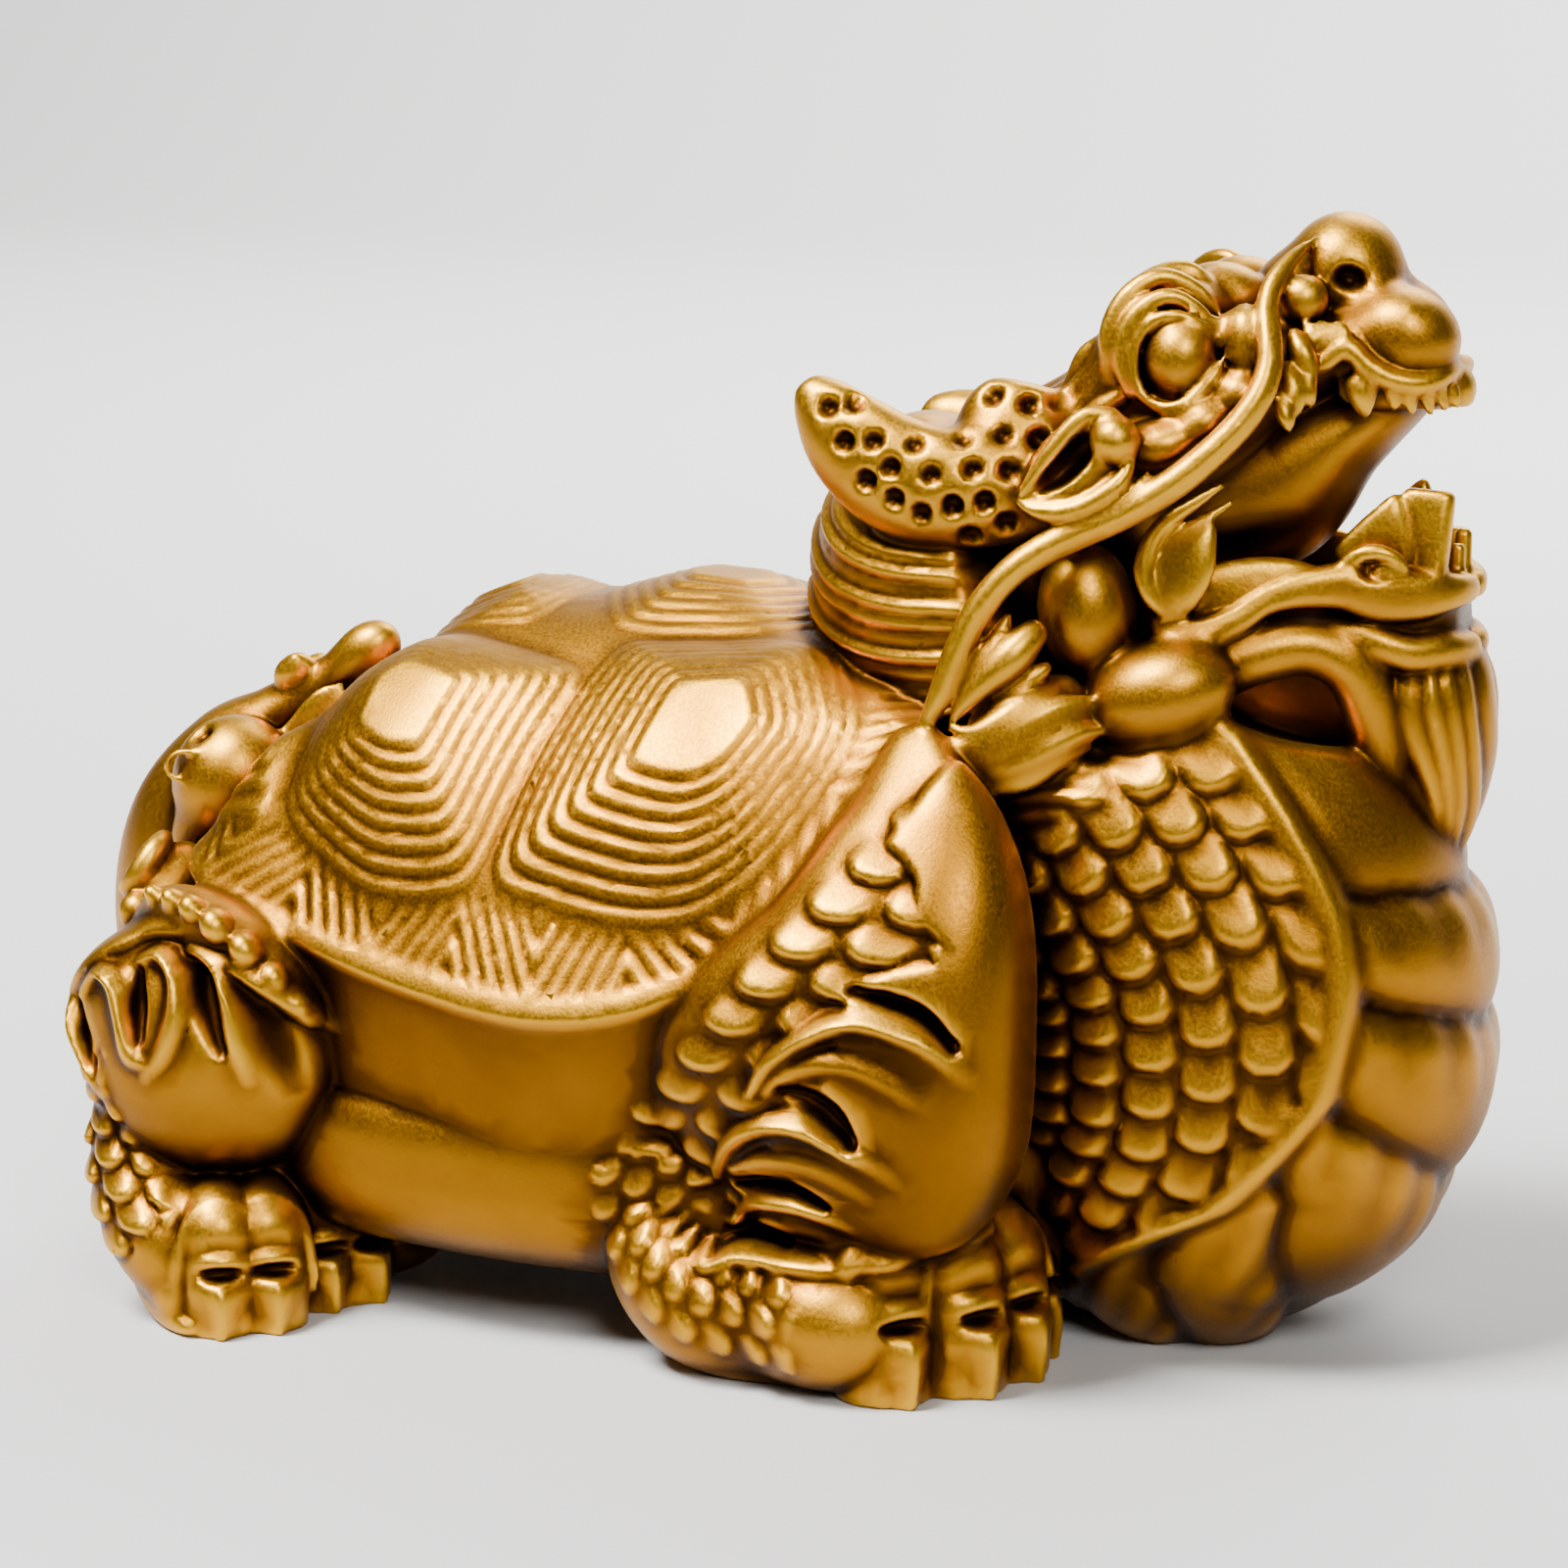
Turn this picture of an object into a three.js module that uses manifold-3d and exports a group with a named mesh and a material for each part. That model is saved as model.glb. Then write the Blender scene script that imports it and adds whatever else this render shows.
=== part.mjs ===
// Dragon turtle figure: a crouching turtle with a dragon's head, scaled neck, clawed paws and a
// curled tail, cast in one piece. Millimetres, +Z up, +X towards the head, +Y the turtle's left.
// The origin is on the ground, under the middle of the figure's box.
import * as THREE from "three";
import { mergeVertices } from "three/addons/utils/BufferGeometryUtils.js";
import Module from "manifold-3d";

const wasm = await Module();
wasm.setup();

// Driving dimensions. The pose is drawn at DRAWN_HEIGHT and grows with FIGURE_HEIGHT.
const FIGURE_HEIGHT = 150;
const DRAWN_HEIGHT = 150;
const EYE_RADIUS = 7;
const TOE_COUNT = 4;
const TOE_RELIEF = 1.6;
const PAW_WIDTH = 33;
const CLAW_WIDTH = 3.2;
const SCALE_RELIEF = 2.2;
const SCUTE_STEP = 1.2;
const SCUTE_STEPS = 3;
const SCUTE_ROOT = 4;
const TOP_SHARE = 0.36;
const PLATE_RELIEF = 1.6;
const PLATE_GROOVE = 5;
const HAIR_RELIEF = 1.6;

const grow = FIGURE_HEIGHT / DRAWN_HEIGHT;
const gold = new THREE.MeshStandardMaterial({ color: 0xc8923a, metalness: 1, roughness: 0.42 });

// Turns a three.js geometry into a manifold solid, whichever way its faces point.
function solid(geometry) {
  const bare = geometry.clone();
  bare.deleteAttribute("normal");
  bare.deleteAttribute("uv");
  const merged = mergeVertices(bare, 1e-3);
  const triVerts = new Uint32Array(merged.index.array);
  const vertProperties = merged.attributes.position.array;
  let volume = 0;
  const [a, b, c] = [new THREE.Vector3(), new THREE.Vector3(), new THREE.Vector3()];
  for (let i = 0; i < triVerts.length; i += 3) {
    a.fromArray(vertProperties, 3 * triVerts[i]);
    b.fromArray(vertProperties, 3 * triVerts[i + 1]);
    c.fromArray(vertProperties, 3 * triVerts[i + 2]);
    volume += a.dot(b.cross(c));
  }
  if (volume < 0) {
    for (let i = 0; i < triVerts.length; i += 3) {
      [triVerts[i + 1], triVerts[i + 2]] = [triVerts[i + 2], triVerts[i + 1]];
    }
  }
  return new wasm.Manifold(new wasm.Mesh({ numProp: 3, vertProperties, triVerts }));
}

// Joins the geometries of a nested list into one solid.
function fuse(forms) {
  return forms
    .flat(Infinity)
    .map(solid)
    .reduce((whole, piece) => whole.add(piece));
}

// A smooth line through drawn points, and smooth values along it.
function smoothLine(stations) {
  return new THREE.CatmullRomCurve3(stations.map((s) => new THREE.Vector3(s[0], s[1], s[2])));
}

function smoothValue(values, t) {
  const last = values.length - 1;
  const at = Math.min(t * last, last - 1e-9);
  const i = Math.floor(at);
  const f = at - i;
  const [p0, p1, p2, p3] = [i - 1, i, i + 1, i + 2].map((k) => values[Math.min(Math.max(k, 0), last)]);
  return (
    p1 + 0.5 * f * (p2 - p0 + f * (2 * p0 - 5 * p1 + 4 * p2 - p3 + f * (3 * (p1 - p2) + p3 - p0)))
  );
}

// A closed body swept along stations of [x, y, z, half width, half depth]. The half width lies along
// "across". blunt sets the ends: 2 is an ellipsoid's, 6 a nearly square end; square does the same
// for the cross-section. relief(t, turn, i, j) adds to the radius; turn is 0 across, a quarter on
// the deep side. Nothing goes below the ground, so soles come out flat.
function sweep(stations, options = {}) {
  const { sides = 8, rings = 6, blunt = 2.5, square = 2, across = [0, 1, 0], relief } = options;
  const rounded = (v) => Math.sign(v) * Math.abs(v) ** (2 / square);
  const line = smoothLine(stations);
  const widths = stations.map((s) => s[3]);
  const depths = stations.map((s) => s[4] ?? s[3]);
  const geometry = new THREE.SphereGeometry(1, sides, rings);
  const position = geometry.attributes.position;
  const reference = new THREE.Vector3(...across);
  for (let j = 0; j <= rings; j++) {
    const t = (1 - Math.cos((Math.PI * j) / rings)) / 2;
    const cap = Math.pow(Math.max(0, 1 - Math.pow(Math.abs(2 * t - 1), blunt)), 1 / blunt);
    const centre = line.getPoint(t);
    const along = line.getTangent(t);
    const wide = reference.clone().addScaledVector(along, -reference.dot(along)).normalize();
    const deep = wide.clone().cross(along);
    for (let i = 0; i <= sides; i++) {
      const turn = (i % sides) / sides;
      const angle = 2 * Math.PI * turn;
      const raised = relief ? relief(t, turn, i % sides, j) : 0;
      const point = centre
        .clone()
        .addScaledVector(wide, cap * (smoothValue(widths, t) + raised) * rounded(Math.cos(angle)))
        .addScaledVector(deep, cap * (smoothValue(depths, t) + raised) * rounded(Math.sin(angle)));
      position.setXYZ(j * (sides + 1) + i, point.x * grow, point.y * grow, Math.max(point.z, 0) * grow);
    }
  }
  geometry.setIndex(quiltedIndex(sides, rings));
  return geometry;
}

// The triangles of a sphere's grid, split so that no edge joins two corners that scales raise.
function quiltedIndex(sides, rings) {
  const index = [];
  for (let j = 0; j < rings; j++) {
    for (let i = 0; i < sides; i++) {
      const b = j * (sides + 1) + i;
      const [a, c, d] = [b + 1, b + sides + 1, b + sides + 2];
      if (j === 0) index.push(b, c, d);
      else if (j === rings - 1) index.push(a, b, c);
      else if ((i + j) % 2) index.push(a, b, c, a, c, d);
      else index.push(a, b, d, b, c, d);
    }
  }
  return index;
}

// An ellipsoid, turned about Y by "pitch" degrees and then about Z by "yaw".
function blob(centre, radii, { sides = 10, rings = 7, pitch = 0, yaw = 0 } = {}) {
  const geometry = new THREE.SphereGeometry(1, sides, rings);
  geometry.scale(...radii);
  geometry.rotateY(THREE.MathUtils.degToRad(-pitch));
  geometry.rotateZ(THREE.MathUtils.degToRad(yaw));
  geometry.translate(...centre);
  geometry.scale(grow, grow, grow);
  return geometry;
}

// Forms are drawn on the turtle's right; these give the left ones and both.
function mirrored(forms) {
  return [forms].flat(Infinity).map((form) => form.clone().scale(1, -1, 1));
}

function bothSides(forms) {
  return [forms, mirrored(forms)];
}

// Scales as a relief that raises every other corner of a swept grid, and lower ones for thin limbs.
const LOW_SCALES = 0.8;
const scaly = (i, j) => ((i + j) % 2 ? SCALE_RELIEF : 0);
const lowScaly = (t, turn, i, j) => LOW_SCALES * scaly(i, j);

// The carapace: a dome over a rim that rises at the shoulders and the tail.
const SHELL_CENTRE = [-20, 0, 95.5];
const RIM = [
  [36, 0, 86],
  [35, -17, 86],
  [29.4, -33, 84],
  [19.6, -43, 68.6],
  [5, -50, 52.3],
  [-12.9, -53, 47.2],
  [-36.4, -50, 49.5],
  [-52.6, -46, 53.3],
  [-74.7, -34, 60],
  [-70.5, -18, 66],
  [-68, 0, 70],
];
const DOME_FALL = 2.3;
const WALL_FOOT = 28;
const WALL_INSET = 0.12;
const RIM_EDGE = 0.6;

// The rim's distance from the shell's centre and its height, in the direction of an angle.
const rimAngles = RIM.map(([x, y]) => Math.abs(Math.atan2(y, x - SHELL_CENTRE[0])));
const rimReach = RIM.map(([x, y]) => Math.hypot(x - SHELL_CENTRE[0], y));
const rimHeights = RIM.map((p) => p[2]);
function rimAt(angle) {
  const a = Math.abs(Math.atan2(Math.sin(angle), Math.cos(angle)));
  let k = 0;
  while (k < rimAngles.length - 2 && rimAngles[k + 1] < a) k++;
  const share = (a - rimAngles[k]) / (rimAngles[k + 1] - rimAngles[k]);
  const t = (k + Math.min(Math.max(share, 0), 1)) / (RIM.length - 1);
  return [smoothValue(rimReach, t), smoothValue(rimHeights, t)];
}

// A point on the dome over the drawn plan position x, y, lifted off it by "lift". Near the rim the
// dome is steep, so the lift there points more outwards than up.
const RIM_LEAN = 0.75;
function onDome(x, y, lift = 0) {
  const [dx, dy] = [x - SHELL_CENTRE[0], y];
  const angle = Math.atan2(dy, dx);
  const [reach, rimHeight] = rimAt(angle);
  const out = Math.min(Math.hypot(dx, dy) / reach, 1);
  const height = rimHeight + (SHELL_CENTRE[2] - rimHeight) * (1 - out ** DOME_FALL);
  const steep = (out * RIM_LEAN) ** 1.5;
  const outward = lift * steep;
  return [x + outward * Math.cos(angle), y + outward * Math.sin(angle), height + lift * (1 - 0.5 * steep)];
}

// The dome, with the plain wall that falls from its rim towards the plastron.
function dome() {
  const [sides, rings, crown] = [26, 9, 5];
  const geometry = new THREE.SphereGeometry(1, sides, rings);
  const position = geometry.attributes.position;
  for (let j = 0; j <= rings; j++) {
    for (let i = 0; i <= sides; i++) {
      const angle = (2 * Math.PI * (i % sides)) / sides;
      const [reach, rimHeight] = rimAt(angle);
      let out = Math.sin((Math.PI * Math.min(j, crown)) / (2 * crown));
      let height = onDome(SHELL_CENTRE[0] + out * reach * Math.cos(angle), out * reach * Math.sin(angle))[2];
      if (j > crown) {
        const down = (2 * (j - crown)) / (rings - crown);
        const wall = Math.min(1, down);
        out = (1 - WALL_INSET * wall ** 0.6) * (1 - Math.max(0, down - 1));
        height = THREE.MathUtils.lerp(rimHeight - RIM_EDGE, WALL_FOOT, wall);
      }
      const x = SHELL_CENTRE[0] + out * reach * Math.cos(angle);
      const y = out * reach * Math.sin(angle);
      position.setXYZ(j * (sides + 1) + i, x * grow, y * grow, height * grow);
    }
  }
  return geometry;
}

// Scutes as outlines on the plan, each with the middle of its flat top.
const SPINE_SCUTES = [
  { top: [-9, 0], outline: [[-25, 0], [-18, -14], [2, -14], [10, 0], [2, 14], [-18, 14]] },
  { top: [-39, 0], outline: [[-54, 0], [-47, -12], [-33, -13], [-27, 0], [-33, 13], [-47, 12]] },
];
const FLANK_SCUTES = [
  { top: [-2, -35], outline: [[-25, -45], [-3, -47.5], [13, -44], [23, -33], [14, -20], [-15, -19]] },
  { top: [-41, -32], outline: [[-59, -35], [-44, -43.5], [-29, -45], [-22, -24], [-46, -15], [-57, -21]] },
];

// One scute: steps that shrink towards its top, draped over the dome. A riser takes RISER_SHARE of
// its step's width, and the treads rise a little towards the top.
const RISER_SHARE = 0.25;
const TREAD_RISE = 0.2;
function scute({ top, outline }) {
  const corners = outline.length;
  const points = [];
  const loops = [];
  const ring = (share, lift) => {
    loops.push(points.length / 3);
    for (const [x, y] of outline) {
      const at = [top[0] + (x - top[0]) * share, top[1] + (y - top[1]) * share];
      points.push(...onDome(...at, lift).map((v) => v * grow));
    }
  };
  const shrink = (1 - TOP_SHARE) / SCUTE_STEPS;
  ring(1, -SCUTE_ROOT);
  for (let step = 0; step < SCUTE_STEPS; step++) {
    if (step) ring(1 - shrink * step, SCUTE_STEP * (step + TREAD_RISE));
    ring(1 - shrink * (step + RISER_SHARE), SCUTE_STEP * (step + 1));
  }
  ring(TOP_SHARE, SCUTE_STEP * (SCUTE_STEPS + 2 * TREAD_RISE));
  const index = [];
  for (let k = 0; k + 1 < loops.length; k++) {
    for (let i = 0; i < corners; i++) {
      const [a, b] = [loops[k] + i, loops[k] + ((i + 1) % corners)];
      const [c, d] = [loops[k + 1] + i, loops[k + 1] + ((i + 1) % corners)];
      index.push(a, b, d, a, d, c);
    }
  }
  const lowest = points.length / 3;
  points.push(...onDome(...top, -2 * SCUTE_ROOT).map((v) => v * grow));
  points.push(...onDome(...top, SCUTE_STEP * (SCUTE_STEPS + 4 * TREAD_RISE)).map((v) => v * grow));
  for (let i = 0; i < corners; i++) {
    const next = (i + 1) % corners;
    index.push(lowest, loops[0] + next, loops[0] + i);
    index.push(lowest + 1, loops[loops.length - 1] + i, loops[loops.length - 1] + next);
  }
  const geometry = new THREE.BufferGeometry();
  geometry.setAttribute("position", new THREE.Float32BufferAttribute(points, 3));
  geometry.setIndex(index);
  return geometry;
}

function carapace() {
  return [dome(), SPINE_SCUTES.map(scute), bothSides(FLANK_SCUTES.map(scute))];
}

// The plastron: the rounded belly that shows under the wall between the legs.
function plastron() {
  const stations = [
    [-74, 0, 26, 20, 10],
    [-60, 0, 24, 40, 16],
    [-35, 0, 23, 46, 17],
    [-8, 0, 22.5, 47, 17],
    [20, 0, 23, 44, 17],
    [50, 0, 22, 26, 16],
  ];
  return sweep(stations, { sides: 12, rings: 6, blunt: 4, square: 3 });
}

// Neck and chest: scales on the flanks, a ridge, belly plates in front and hair on the nape.
const NECK = [
  [52, 0, 1, 18, 14],
  [59, 0, 14, 26, 22],
  [65.5, 0, 32, 31, 31],
  [65, 0, 52, 32, 32.5],
  [55, 0, 71, 31, 31],
  [43, 0, 88, 28, 30],
  [35, 0, 103, 25, 27],
  [33, 0, 116, 22, 22],
  [40, 0, 123, 12, 10],
];
const PLATE_SPREAD = 0.16;
const RIDGE_SPREAD = 0.2;
const RIDGE_RELIEF = 1;
const NAPE_START = 0.56;
const THROAT_DEPTH = 3;
function neck() {
  const relief = (t, turn, i, j) => {
    const fromFront = Math.abs(turn - 0.25);
    const plates = fromFront < PLATE_SPREAD;
    if (t > NAPE_START) return plates ? -THROAT_DEPTH : j % 2 ? HAIR_RELIEF : 0;
    if (plates) return j % 2 ? PLATE_RELIEF : PLATE_RELIEF - PLATE_GROOVE;
    return fromFront < RIDGE_SPREAD ? RIDGE_RELIEF : scaly(i, j) - RIDGE_RELIEF;
  };
  return sweep(NECK, { sides: 28, rings: 22, blunt: 5, relief });
}

// The upper head: skull, muzzle and nose bulb, with brows, eyes, nostrils and the upper lip.
function upperHead() {
  const skull = [
    [18, 0, 112, 16, 9],
    [34, 0, 116, 22, 13],
    [50, 0, 123, 21, 17],
    [62, 0, 128, 17, 14],
    [72, 0, 130, 14, 9],
    [82, 0, 131.5, 12, 6.5],
    [92, 0, 130, 9, 5],
  ];
  const eye = blob([61, -16.5, 132], [EYE_RADIUS, EYE_RADIUS, EYE_RADIUS], { sides: 7, rings: 4 });
  const brow = sweep(
    [
      [42, -16, 124, 3, 4],
      [46, -17, 131, 4, 5],
      [54, -14, 137, 6, 5.5],
      [63, -10, 138, 6, 5],
      [70, -9, 134, 3, 3],
    ],
    { sides: 6, rings: 5 },
  );
  const nostril = blob([84.5, -6, 135.5], [7.5, 6.5, 5], { sides: 6, rings: 5, pitch: -12 });
  const lip = sweep(
    [
      [72, -13, 129, 3, 4],
      [78, -12.5, 134, 3, 4],
      [86, -9.5, 130.5, 3.5, 3.5],
      [91, -3, 129, 3, 4],
    ],
    { sides: 4, rings: 6 },
  );
  return [
    sweep(skull, { sides: 10, rings: 7, blunt: 3 }),
    blob([77, 0, 141.5], [8.5, 8.5, 8.5], { sides: 10, rings: 7 }),
    bothSides([eye, brow, nostril, lip]),
  ];
}

// Teeth along the upper jaw: a fang and smaller ones towards the front.
function upperTeeth() {
  const TEETH = 3;
  const teeth = [];
  for (let k = 0; k < TEETH; k++) {
    const share = k / (TEETH - 1);
    const [x, y] = [81 + 11 * share, -11.5 + 8 * share ** 2];
    teeth.push(sweep([[x, y, 132, 2], [x, y, 128, 2], [x, y, 123, 0.5]], { sides: 3, rings: 3 }));
  }
  return bothSides(teeth);
}

// The lower jaw with its rolled lip, tusks, the web behind the teeth and the jowls.
function lowerJaw() {
  const jaw = [
    [50, 0, 97, 20, 9],
    [62, 0, 97, 18, 8],
    [76, 0, 98, 14, 5.5],
    [88, 0, 98, 11, 6],
    [95, 0, 98, 8, 5],
  ];
  const web = [
    [44, 0, 112, 17, 14],
    [58, 0, 113, 14, 13],
    [70, 0, 114, 11, 11],
    [81, 0, 116, 8, 9],
  ];
  const lip = sweep(
    [
      [57, -17, 97, 3, 3],
      [67, -16, 101, 3, 3.5],
      [79, -12.5, 105, 3, 3],
      [89, -9.5, 102, 3, 4],
      [94.5, -4, 98.5, 3, 4],
    ],
    { sides: 6, rings: 6 },
  );
  const tusk = sweep(
    [
      [84, -8.5, 101, 6, 2.5],
      [88, -8.5, 109, 5, 2.2],
      [90, -8.5, 116, 3.6, 1.2],
    ],
    { sides: 5, rings: 3, blunt: 5, across: [1, 0, 0] },
  );
  const jowls = [
    blob([50, -19, 100], [8.5, 8, 8.5], { sides: 7, rings: 5 }),
    blob([61, -15, 89.5], [11.5, 10, 8.5], { sides: 7, rings: 5, pitch: 12 }),
  ];
  const fin = sweep(
    [
      [60, -17, 93, 2.5, 5],
      [62, -18, 101, 2.5, 5.5],
      [60, -17, 110, 1.2, 1.5],
    ],
    { sides: 4, rings: 3 },
  );
  return [
    sweep(jaw, { sides: 10, rings: 6, blunt: 3 }),
    sweep(web, { sides: 7, rings: 4, blunt: 3 }),
    bothSides([lip, tusk, jowls, fin]),
  ];
}

// A body with pleats along it, for locks that lie side by side.
const LOCK_RELIEF = 0.8;
const pleated = (depth) => (t, turn, i) => (i % 2 ? depth : -depth);

// The beard under the chin, hanging down and narrowing to its tip.
function beard() {
  const stations = [
    [90, 0, 97, 10, 5],
    [91.5, 0, 89, 11, 6.5],
    [92.5, 0, 80, 10, 6],
    [92, 0, 72, 7.5, 4.5],
    [93, 0, 65, 3, 2],
  ];
  return sweep(stations, { sides: 12, rings: 6, blunt: 5, relief: pleated(LOCK_RELIEF) });
}

// A pitted coral-like antler: a thick crescent with a second tine.
function antler() {
  const crescent = [
    [47, -19, 118, 5, 6],
    [37, -22, 115, 5.5, 8],
    [27, -23, 114, 5.5, 8],
    [18, -23.5, 119, 4.5, 5.5],
    [11, -24, 127, 3, 3],
  ];
  const tine = [
    [38, -20, 114, 5, 6],
    [37, -19, 119, 5, 6],
    [35, -17, 124, 3.5, 4],
  ];
  return [sweep(crescent, { sides: 6, rings: 7, blunt: 3.5 }), sweep(tine, { sides: 5, rings: 3 })];
}

// The ear: a pointed leaf that starts from a round boss.
function ear() {
  const stations = [
    [55, -23, 122.5, 3.5, 3.8],
    [47, -26, 118.5, 3.5, 5.5],
    [39, -28, 112, 1.5, 2],
  ];
  return sweep(stations, { sides: 6, rings: 4 });
}

// The long whisker from beside the nose down to the shoulder.
const WHISKER = [
  [72, -10, 141, 2.4],
  [72.5, -15, 134, 2.8],
  [70, -19.5, 127, 2.8],
  [63, -24, 119, 2.8],
  [54, -27, 113.5, 2.8],
  [45, -29.5, 108.5, 2.8],
  [38, -31.5, 101, 2.8],
  [33, -32.5, 92, 2.8],
  [30, -33, 84, 2],
];
function whisker() {
  return sweep(WHISKER, { sides: 4, rings: 8, blunt: 4 });
}

// The mane: a fan of locks from behind the jowls, drawn together at the shoulder.
function mane() {
  const stations = [
    [30, -33, 83.5, 1.5, 1.5],
    [38, -32, 83, 4, 5],
    [47, -30, 84, 5, 7.5],
    [55, -26, 87, 5, 9],
    [60, -21, 89, 4, 8],
  ];
  return sweep(stations, { sides: 8, rings: 4, blunt: 4, relief: pleated(LOCK_RELIEF) });
}

// A paw: a body whose top is pleated into toes, and a claw under the front of each. It points
// along "heading" on the plan, and "centre" is where the middle of the claw row meets the ground.
// The toes part over the share TOE_ROOT of the paw's length, and the claws stand in an arc.
const TOE_ROOT = [0.2, 0.6];
const CLAW_ARC = 14;
function paw(centre, heading) {
  const turn = THREE.MathUtils.degToRad(heading);
  const [c, s] = [Math.cos(turn), Math.sin(turn)];
  const place = ([x, y, z, ...r]) => [centre[0] + x * c - y * s, centre[1] + x * s + y * c, z, ...r];
  const across = [-s, c, 0];
  const sides = TOE_COUNT * 4;
  const body = [
    [-34, 0, 10, 9, 9],
    [-22, 0, 9, 14, 10],
    [-12, 0, 9, PAW_WIDTH / 2, 10],
    [-3, 0, 6, PAW_WIDTH / 2 - 2, 8],
    [1, 0, 3, PAW_WIDTH / 2 - 4, 4],
  ];
  const toes = (t, side, i) => {
    const pleat = i % 2 ? TOE_RELIEF : -TOE_RELIEF;
    return i > sides / 2 ? pleat * THREE.MathUtils.smoothstep(t, ...TOE_ROOT) : 0;
  };
  const claws = [];
  for (let k = 0; k < TOE_COUNT; k++) {
    const spread = k / (TOE_COUNT - 1) - 0.5;
    const y = spread * (PAW_WIDTH - 2.4 * CLAW_WIDTH);
    const back = -CLAW_ARC * spread ** 2 - 1;
    const claw = [
      [back - 5, y, 11, CLAW_WIDTH, CLAW_WIDTH + 1],
      [back + 1, y, 6, CLAW_WIDTH, CLAW_WIDTH],
      [back + 0.5, y, -2, 1.6, 2],
    ];
    claws.push(sweep(claw.map(place), { sides: 4, rings: 3, across, blunt: 4 }));
  }
  return [sweep(body.map(place), { sides, rings: 5, across, blunt: 3.5, relief: toes }), claws];
}

// Tongues of the fringe that grows over a leg's scales.
const tongue = (points) => sweep(points, { sides: 4, rings: 3 });

// The foreleg: a flat haunch hung from the shell's corner, the forearm and the paw. The paw's
// place and heading are given, so that one side can reach further forward.
function foreleg(pawAt, heading) {
  const haunch = [
    [30, -32, 85, 4, 5],
    [32, -36, 72, 9, 12],
    [30, -39, 58, 12, 17],
    [23, -40, 42, 13, 24],
    [18, -40, 28, 13, 26],
    [18, -40, 12, 10, 20],
  ];
  const forearm = [
    [-2, -40, 27, 8, 7],
    [-1, -41, 16, 10, 9],
    [8, -42, 9, 10, 9],
    [(8 + pawAt[0]) / 2, (-42 + pawAt[1]) / 2, 9, 10, 9],
    [pawAt[0] - 14, pawAt[1] + 4, 9, 10, 9],
  ];
  const tongues = [
    [[45, -47, 47, 2], [36, -51, 54, 3.4], [26, -52, 52, 3.4], [17, -50, 46, 1.5]],
    [[40, -50, 41, 2], [31, -53, 43, 3.6], [20, -53, 39, 3.4], [11, -50, 32, 1.5]],
    [[34, -50, 31, 2], [27, -53, 32, 3.2], [19, -53, 28, 3], [12, -50, 23, 1.5]],
  ];
  const rear = (t, turn, i, j) => (turn > 0.25 && turn < 0.72 && t > 0.1 ? scaly(i, j) : 0);
  return [
    sweep(haunch, { sides: 12, rings: 10, blunt: 3.5, relief: rear }),
    sweep(forearm, { sides: 10, rings: 8, blunt: 3, relief: lowScaly }),
    tongues.map(tongue),
    paw(pawAt, heading),
  ];
}

// The hind leg: a round thigh, the scaled shank behind it and the paw.
function hindleg() {
  const shank = [
    [-78, -34, 42, 8, 8],
    [-81, -38, 30, 9, 9],
    [-78, -42, 16, 9, 9],
    [-66, -45, 9, 9, 9],
  ];
  const tongues = [
    [[-59, -52, 33, 2], [-59, -52, 43, 3.8], [-64, -48, 51, 1.5]],
    [[-69, -54, 33, 2], [-70, -53, 43, 4], [-73, -48, 51, 1.5]],
    [[-79, -51, 33, 2], [-81, -49, 42, 4], [-83, -45, 50, 1.5]],
  ];
  return [
    blob([-68, -39, 36], [19, 16, 18], { sides: 9, rings: 6, pitch: 20 }),
    sweep(shank, { sides: 10, rings: 7, blunt: 3, relief: lowScaly }),
    tongues.map(tongue),
    paw([-52, -53], -34),
  ];
}

// The tail: a stem up the back that lies on the shell, with a curl on each side.
function tail() {
  const stem = [
    [-78, 0, 20, 12, 10],
    [-86, 0, 32, 12, 14],
    [-87, 0, 46, 11, 14],
    [-86, 0, 60, 10, 12],
    [-80, 0, 71, 9, 9],
    [-71, 0, 78, 7, 5],
    [-61, 0, 86, 5, 4.5],
  ];
  const curl = blob([-78, -9, 68], [9.5, 8, 9.5], { sides: 8, rings: 5 });
  return [sweep(stem, { sides: 8, rings: 7, blunt: 4 }), bothSides(curl)];
}

// The whole figure, fused into one body.
function figure() {
  const forms = [
    plastron(),
    carapace(),
    neck(),
    upperHead(),
    upperTeeth(),
    lowerJaw(),
    beard(),
    bothSides([antler(), ear(), whisker(), mane()]),
    bothSides(hindleg()),
    foreleg([38.5, -37], -27),
    mirrored(foreleg([61, -22], 2)),
    tail(),
  ];
  return fuse(forms);
}

// A named mesh of a solid, moved so that the origin is under the middle of its box.
function meshOf(made, name, material) {
  const { numProp, vertProperties, triVerts } = made.getMesh();
  const geometry = new THREE.BufferGeometry();
  const points = new Float32Array((vertProperties.length / numProp) * 3);
  for (let i = 0; i < points.length / 3; i++) {
    points.set(vertProperties.subarray(i * numProp, i * numProp + 3), 3 * i);
  }
  geometry.setAttribute("position", new THREE.BufferAttribute(points, 3));
  geometry.setIndex(new THREE.BufferAttribute(new Uint32Array(triVerts), 1));
  geometry.computeBoundingBox();
  const middle = geometry.boundingBox.getCenter(new THREE.Vector3());
  geometry.translate(-middle.x, -middle.y, 0);
  const mesh = new THREE.Mesh(geometry, material);
  mesh.name = name;
  return mesh;
}

const group = new THREE.Group();
group.add(meshOf(figure(), "dragon_turtle", gold));
export default group;
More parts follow.
